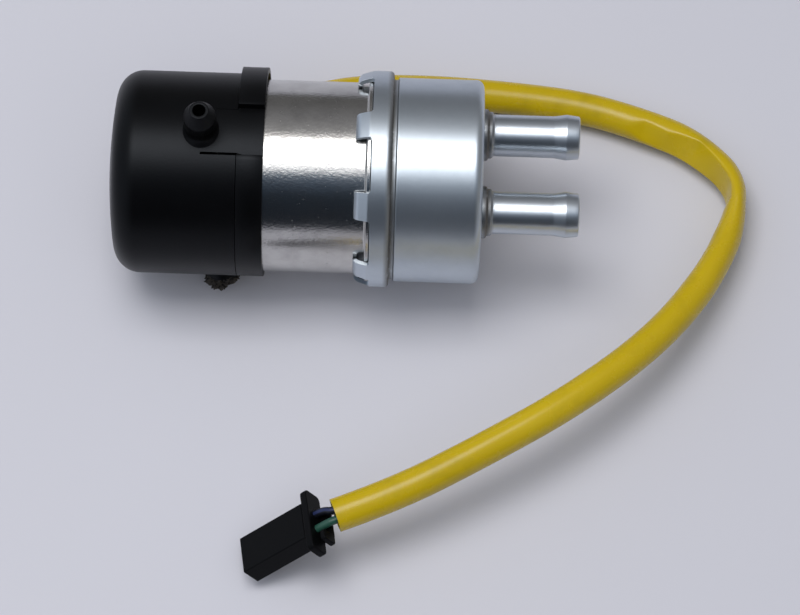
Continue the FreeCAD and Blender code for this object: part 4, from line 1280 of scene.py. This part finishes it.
@dataclass
class Cover:
    """The black cap: shell with its snap tongue, vent nipple, filter spigot and foam plug.

    Lengths are millimetres and angles degrees.
    """

    crown: float = -39.4
    dome: float = 100.5
    corner: float = 5.0
    radius: float = 19.95
    wall: float = 1.6
    slit_start: float = -20.9
    seam: float = -14.03
    tongue_end: float = -8.8
    tongue_wall: float = 0.8
    tongue_half: float = 12.8
    tongue_far_half: float = 13.9
    tongue_front_half: float = 13.7
    slit_side: float = 14.2
    nipple_x: float = -20.9
    filter_x: float = -17.3
    filter_angle: float = -142.0
    seam_step: float = 0.01
    taper: float = 1.2
    tongue_columns: int = 25
    shell_columns: int = 169
    profile_rows: tuple[int, ...] = (16, 18, 8, 6, 5)
    nipple: Outline = Outline(
        ((18.6, 3.9), (19.6, 3.75), (20.9, 2.85), (23.3, 2.7), (23.45, 3.15), (25.8, 3.15),
         (28.5, 1.85), (28.5, 1.2), (18.6, 1.2)),
        (0, 1.0, 2.0, 0.1, 0.2, 0.8, 0.25, 0.15, 0), 0.6)
    spigot: Outline = Outline(((18.6, 3.3), (22.6, 3.3), (22.6, 2.45), (18.6, 2.45)),
                              (0, 0.4, 0.2, 0), 0.6)
    foam: Outline = Outline(((19.0, 0.0), (19.0, 2.4), (21.6, 2.4), (21.8, 3.3), (23.9, 3.3),
                             (24.2, 0.0)), (0, 0.3, 0.2, 0.4, 0.7, 0), 0.14)
    foam_turns: tuple[float, ...] = (5, 9, 13, 19, 27, 34)
    foam_waves: tuple[float, ...] = (2.1, 3.3, 5.2, 7.4, 9.8, 12.5)
    foam_seed: int = 7
    foam_neck: float = 21.5
    foam_fades: tuple[float, float] = (0.5, 0.6)
    foam_least: float = 0.2
    foam_middle: float = 22.4
    foam_radius: float = 3.3
    foam_push: float = 1.1
    foam_droop: float = 1.1
    foam_bulge: float = 0.15
    foam_level: float = 0.6
    foam_columns: int = 120
    bevel: float = 0.12

    def profile(self) -> np.ndarray:
        """The shell's profile: a shallow dome, a corner arc and the straight wall.

        The corner's centre lies where a circle of the corner's radius touches both the dome
        and the wall from inside.

        Returns:
            The points, (x, radius).
        """
        dome_rows, corner_rows, *wall_rows = self.profile_rows
        height = self.radius - self.corner
        reach = self.dome - self.corner
        back = math.sqrt(reach * reach - height * height)
        centre = self.crown + self.dome - back
        start = math.atan2(height, back)
        swing = np.linspace(0.0, start, dome_rows)
        front = np.stack([self.crown + self.dome * (1 - np.cos(swing)),
                          self.dome * np.sin(swing)], 1)
        bend = np.linspace(start, math.pi / 2, corner_rows)[1:]
        arc = np.stack([centre - self.corner * np.cos(bend),
                        height + self.corner * np.sin(bend)], 1)
        ends = ((centre, self.slit_start), (self.slit_start, self.seam),
                (self.seam + self.seam_step, self.tongue_end))
        parts = [np.linspace(*pair, rows) for pair, rows in zip(ends, wall_rows)]
        places = np.concatenate([parts[0][1:], parts[1][1:], parts[2]])
        wall = np.stack([places, np.full_like(places, self.radius)], 1)
        return np.concatenate([front, arc, wall])

    def make_shell(self, skin: Skin) -> None:
        """Adds the shell: its profile turned, less the slits and the room beside the tongue.

        The first columns span the tongue and the others the rest of the way round, so the last
        column of each group of cells is a slit.

        Args:
            skin: the piece to add to.
        """
        profile = self.profile()
        inner = moved_in(profile, self.wall)
        inner[0] = (profile[0, 0] + self.wall, 0.0)
        half_step = self.seam_step / 2
        inner[profile[:, 0] > self.seam + half_step, 1] = self.radius - self.tongue_wall
        inner[:, 1] = np.maximum(inner[:, 1], 0.0)
        near = np.interp(profile[:, 0], [self.seam, self.seam + self.taper],
                         [self.tongue_half, self.tongue_front_half])[:, None]
        share = np.linspace(0.0, 1.0, self.tongue_columns)
        inside = share * self.tongue_far_half - (1 - share) * near
        outside = np.linspace(self.slit_side, 360 - self.slit_side, self.shell_columns)
        outside = np.broadcast_to(outside, (len(profile), len(outside)))
        angle = np.radians(np.concatenate([inside, outside], 1))
        cells = np.ones((len(profile) - 1, angle.shape[1]), bool)
        slit, beside = (profile[:-1, 0] > place - half_step
                        for place in (self.slit_start, self.seam))
        cells[np.ix_(slit, [self.tongue_columns - 1, -1])] = False
        cells[beside, self.tongue_columns - 1:] = False
        skin.add_sheet(turned(profile, angle), turned(inner, angle), cells)

    def filter_axis(self) -> tuple[float, float, float]:
        """The direction in which the filtered vent stands out from the pump's axis."""
        angle = math.radians(self.filter_angle)
        return (0.0, math.sin(angle), math.cos(angle))

    def make_foam(self) -> None:
        """The foam plug: a mushroom whose head is pushed in and out by summed waves.

        The push, away from the head's middle, is the mean of six sine products in angle and height
        with seeded phases. The head also droops towards the pump on its front side, bulges on the
        other and rises where it faces up.
        """
        profile = self.foam.points()
        height, radius = profile[:, :1], profile[:, 1:]
        turns, waves = (np.array(part)[:, None, None]
                        for part in (self.foam_turns, self.foam_waves))
        phase = np.random.default_rng(self.foam_seed).uniform(0.0, TURN, (len(turns), 2))
        phase = phase[:, :, None, None]
        push = (np.sin(turns * ring_angles(self.foam_columns) + phase[:, 0] + height)
                * np.sin(waves * height + phase[:, 1])).mean(0)
        axis = np.asarray(self.filter_axis())
        foot = np.array([self.filter_x, 0.0, 0.0])
        grid = stood(profile, foot, axis, self.foam_columns)
        away = grid - foot - axis * self.foam_middle
        far = np.linalg.norm(away, axis=-1, keepdims=True)
        neck_fade, middle_fade = self.foam_fades
        head = (np.clip((height - self.foam_neck) / neck_fade, 0, 1)
                * np.clip(radius / middle_fade, 0, 1))[..., None]
        push = push[..., None] * head * self.foam_push
        grid = grid + away / np.maximum(far, self.foam_least) * push
        lean = np.clip((self.filter_x - grid[..., :1]) / self.foam_radius, -1, 1) * head
        level = np.clip(grid @ np.cross(axis, [1.0, 0.0, 0.0]) / self.foam_radius, 0, 1)[..., None]
        grid = grid + axis * (lean * np.where(lean > 0, self.foam_bulge, self.foam_droop)
                              + level * head * (self.foam_level + (1 - self.foam_level) * lean))
        made = Skin("foam_plug").add(grid).piece(sharp=180.0)
        placed(made, "vent_foam", Body.PUMP, "vent_filter")

    def make(self) -> None:
        """Builds the cover, whose nipple and spigot are closed profiles that stand on it."""
        skin = Skin("cap")
        self.make_shell(skin)
        for outline, x, axis in ((self.nipple, self.nipple_x, (0.0, 0.0, 1.0)),
                                 (self.spigot, self.filter_x, self.filter_axis())):
            skin.add(stood(outline.points(), (x, 0.0, 0.0), axis), Shape.TUBE)
        cap = placed(skin.piece(sharp=28.0), "cap_plastic", Body.PUMP, "contact_cover")
        bevelled(cap, self.bevel)
        self.make_foam()
        log.info("cover")


@dataclass
class Can:
    """The drawn can: one closed profile, turned."""

    rear: float = -11.6
    front: float = 12.0
    radius: float = 18.9
    wall: float = 0.8
    flange_radius: float = 20.3
    flange: float = 0.9
    hole: float = 3.2

    def make(self) -> None:
        """Builds the can: outside wall, flange, inside wall and bottom as one loop."""
        inside = self.radius - self.wall
        bottom = self.rear + self.wall
        profile = rounded(
            [(self.rear, self.hole), (self.rear, self.radius),
             (self.front - self.flange, self.radius),
             (self.front - self.flange, self.flange_radius), (self.front, self.flange_radius),
             (self.front, inside), (bottom, inside), (bottom, self.hole)],
            [0, 0.8, 0.35, 0.25, 0.2, 0.6, 0.4, 0], spacing=1.2)
        made = Skin("can").add(turned(profile, ring_angles()), Shape.TUBE).piece()
        placed(made, "can_plate", Body.PUMP, "pump_can")
        log.info("can")


@dataclass
class Housing:
    """The pressed housing: one sheet from the crimped tabs over the ring to the front lip."""

    tabs: int = 8
    tab_half: float = 2.75
    tab_corner: float = 0.95
    root_corner: float = 0.45
    tab_turn: float = 5.0
    tab_columns: int = 17
    gap_columns: int = 12
    tab_radius: float = 20.6
    ring_radius: float = 21.3
    seam: float = 12.05
    wall: float = 0.8
    bevel: float = 0.14
    outline: Outline = Outline(
        ((8.9, 19.05), (8.9, 19.85), (9.45, 20.6), (11.55, 21.3), (12.05, 21.3), (15.9, 21.3),
         (15.9, 19.65), (16.8, 19.65), (16.8, 20.1), (33.6, 20.1), (33.6, 17.0)),
        (0, 0.9, 1.4, 1.2, 0, 1.4, 0.15, 0.2, 0.4, 1.9, 0), 0.45)

    def tab_edge(self, distance: np.ndarray, root: float) -> np.ndarray:
        """Half width of a tab in millimetres at each distance from its tip.

        Within a corner's radius r of the tip it is less by r - sqrt(r r - (r - d)(r - d)), and
        within the root corner's radius of the ring it is more by the same of the root.

        Args:
            distance: the distances from the tip along the tab.
            root: the distance at which the tab leaves the ring.

        Returns:
            The half widths.
        """
        near = np.maximum(self.tab_corner - distance, 0.0)
        from_root = np.maximum(self.root_corner - np.maximum(root - distance, 0.0), 0.0)
        return (self.tab_half
                - (self.tab_corner - np.sqrt(self.tab_corner ** 2 - near ** 2))
                + (self.root_corner - np.sqrt(self.root_corner ** 2 - from_root ** 2)))

    def make(self) -> None:
        """Builds the housing: the outline turned, with the gaps between the tabs cut out.

        A tab's columns keep their share u of its width, so at each row their angle is the
        tab's middle plus u times the half width over the ring's radius.
        """
        profile = self.outline.points()
        step = np.linalg.norm(np.diff(profile, axis=0), axis=1)
        distance = np.concatenate([[0.0], np.cumsum(step)])
        root_row = int(np.argmin(np.hypot(*(profile - (self.seam, self.ring_radius)).T)))
        half = self.tab_edge(distance, distance[root_row]) / self.tab_radius
        half[root_row:] = half[root_row]
        pitch = TURN / self.tabs
        share = np.linspace(-1.0, 1.0, self.tab_columns)
        tab = half[:, None] * share
        gap = np.linspace(half[root_row], pitch - half[root_row], self.gap_columns)[1:-1]
        one = np.concatenate([tab, np.broadcast_to(gap, (len(profile), len(gap)))], 1)
        middles = math.radians(self.tab_turn) + pitch * np.arange(self.tabs)
        angle = (middles[None, :, None] + one[:, None]).reshape(len(profile), -1)
        in_tab = np.tile(np.arange(one.shape[1]) < len(share) - 1, self.tabs)
        cells = np.ones((len(profile) - 1, angle.shape[1]), bool)
        cells[:root_row] = in_tab
        outer, inner = turned(profile, angle), turned(moved_in(profile, self.wall), angle)
        made = Skin("housing").add_sheet(outer, inner, cells).piece()
        bevelled(placed(made, "housing_zinc", Body.PUMP, "valve_housing"), self.bevel)
        log.info("housing")


@dataclass
class Ports:
    """The two hose ports: a collar, a waist, the tube and its bead, as one closed profile."""

    spacing: float = 16.7
    rise: float = 4.2
    columns: int = 128
    outline: Outline = Outline(
        ((32.0, 3.1), (32.0, 5.1), (32.8, 5.1), (32.8, 4.12), (33.6, 4.12), (33.6, 5.1),
         (34.6, 5.1), (34.8, 4.62), (35.5, 4.6), (35.75, 4.12), (47.7, 4.12), (50.1, 4.5),
         (52.7, 4.2), (52.7, 3.1)),
        (0, 0.1, 0.1, 0, 0, 0.1, 0.5, 0.2, 0.35, 0.3, 3.0, 0.5, 0.35, 0), 0.8)

    def make(self) -> None:
        """Builds both ports."""
        profile = self.outline.points()
        for name, side in (("inlet", 1.0), ("outlet", -1.0)):
            grid = turned(profile, ring_angles(self.columns), (side * self.spacing / 2, self.rise))
            made = Skin(f"{name}_hose_port").add(grid, Shape.TUBE).piece()
            placed(made, "port_zinc", Body.PUMP, f"{name}_port")
        log.info("ports")


@dataclass(frozen=True)
class Spring:
    """A coil spring of round wire with closed ends, between a fixed end and a moving one.

    Lengths are millimetres; radius is to the wire's middle.
    """

    name: str
    node: str
    body: Body
    fixed: tuple[float, float, float]
    moving: tuple[float, float, float]
    radius: float
    wire: float
    turns: float
    closed: float = 1.04
    turn_rows: int = 40
    columns: int = 16

    def grid(self) -> np.ndarray:
        """The wire's surface, as places along the coil by places round the wire.

        The wire's middle at turn t is the fixed end + radius (cos t first + sin t second) +
        rise(t) axis. The rise gains a little over one wire in the first and in the last turn and
        is even between.

        Returns:
            The grid.
        """
        low, high = np.asarray(self.fixed), np.asarray(self.moving)
        run = np.linalg.norm(high - low)
        axis = (high - low) / run
        first = np.array([0.0, 1.0, 0.0])
        second = np.cross(axis, first)
        turn = np.linspace(0.0, self.turns, round(self.turns * self.turn_rows) + 1)
        closed, whole = self.wire * self.closed, run - self.wire
        rise = np.interp(turn, [0, 1, self.turns - 1, self.turns],
                         [0, closed, whole - closed, whole]) + self.wire / 2
        angle = (TURN * turn)[:, None]
        outward = np.cos(angle) * first + np.sin(angle) * second
        middle = low + self.radius * outward + rise[:, None] * axis
        return bar(middle, self.wire / 2, outward, -axis, self.columns)

    def make(self) -> None:
        """Builds the spring, dresses it as steel and hides its node."""
        made = Skin(self.name).add(self.grid()).piece(sharp=60.0)
        blended(made, "inner_steel", self.node, self.body, self.fixed, self.moving)


@dataclass(frozen=True)
class Diaphragm:
    """The rubber disc between can and valve body, whose middle moves with the plunger.

    It is made of equal sectors. Lengths are millimetres.
    """

    name: str = "diaphragm_sector"
    node: str = "diaphragm"
    finish: str = "rubber"
    bore: float = 1.3
    cup: float = 10.5
    clamp: float = 18.1
    sectors: int = 12
    rows: int = 9
    steps: int = 56

    def grid(self, number: int, place: tuple[float, float], outer: float) -> np.ndarray:
        """The sector's surface, as angles by places round its thin section.

        A point is (x, r cos a, r sin a): r runs out along the front face and back along the
        rear one, and a runs over the sector. The first and last rows lie halfway between the
        faces and close the sector's sides.

        Args:
            number: which sector, counted from +Y.
            place: x of the rear and of the front face.
            outer: the disc's radius.

        Returns:
            The grid.
        """
        out = np.linspace(self.bore, outer, self.steps)
        radius = np.concatenate([out, out[::-1]])
        along = np.repeat([place[1], place[0]], self.steps)
        angle = TURN / self.sectors * (number + np.linspace(0.0, 1.0, self.rows))
        angle = np.concatenate([angle[:1], angle, angle[-1:]])[:, None]
        faces = np.stack(np.broadcast_arrays(along, radius * np.cos(angle),
                                             radius * np.sin(angle)), -1)
        faces[[0, -1], :, 0] = sum(place) / 2
        return faces

    def make(self) -> None:
        """Builds the sectors, dresses them as rubber and hides the diaphragm node."""
        low, high = (np.asarray(corner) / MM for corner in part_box(self.node))
        middle = (low[0] + high[0]) / 2
        half = TURN / self.sectors / 2
        for number in range(self.sectors):
            grid = self.grid(number, (low[0], high[0]), high[1])
            made = Skin(f"{self.name}_{number + 1}").add(grid).piece(sharp=60.0)
            turn = half * (2 * number + 1)
            start, end = ((middle, reach * math.cos(turn), reach * math.sin(turn))
                          for reach in (self.clamp * math.cos(half), self.cup))
            blended(made, self.finish, self.node, Body.PLUNGER, start, end)


@dataclass
class Inside:
    """Base, port plate and everything inside, with the springs and the diaphragm made as new
    pieces.
    """

    base_bevel: float = 0.15
    springs: tuple[Spring, ...] = (
        Spring("return_coil", "return_spring", Body.PLUNGER, (4.55, 0.0, 0.0), (11.15, 0.0, 0.0),
               8.0, 0.8, 4.0),
        Spring("inlet_coil", "inlet_valve_spring", Body.INLET_VALVE, (16.05, 8.35, 4.2),
               (17.7, 8.35, 4.2), 2.4, 0.4, 3.0),
        Spring("outlet_coil", "outlet_valve_spring", Body.OUTLET_VALVE, (19.25, -8.35, 4.2),
               (17.6, -8.35, 4.2), 2.4, 0.4, 3.0),
        Spring("snap_coil", "snap_spring", Body.ROCKER, (-25.0, 0.0, -3.0), (-25.0, 0.0, -9.0),
               0.85, 0.3, 9.0))
    diaphragm: Diaphragm = Diaphragm()

    def make(self) -> None:
        """Dresses every node, adds springs and diaphragm, and softens the base's edges."""
        for name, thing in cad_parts.items():
            slot = thing.material_slots[0].name.split(".")[0]
            thing.material_slots[0].material = material(slot)
            log.info("%s: %s", name, slot)
        for part in (*self.springs, self.diaphragm):
            part.make()
        bevelled(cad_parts["contact_base"], self.base_bevel, weld=True)


def main() -> None:
    """Builds the studio and every sub-assembly."""
    logging.basicConfig(level=logging.INFO, format="%(name)s: %(message)s")
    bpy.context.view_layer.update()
    for part in (Studio(), Lead(), Cover(), Can(), Housing(), Ports(), Inside()):
        part.make()


if __name__ == "__main__":
    main()
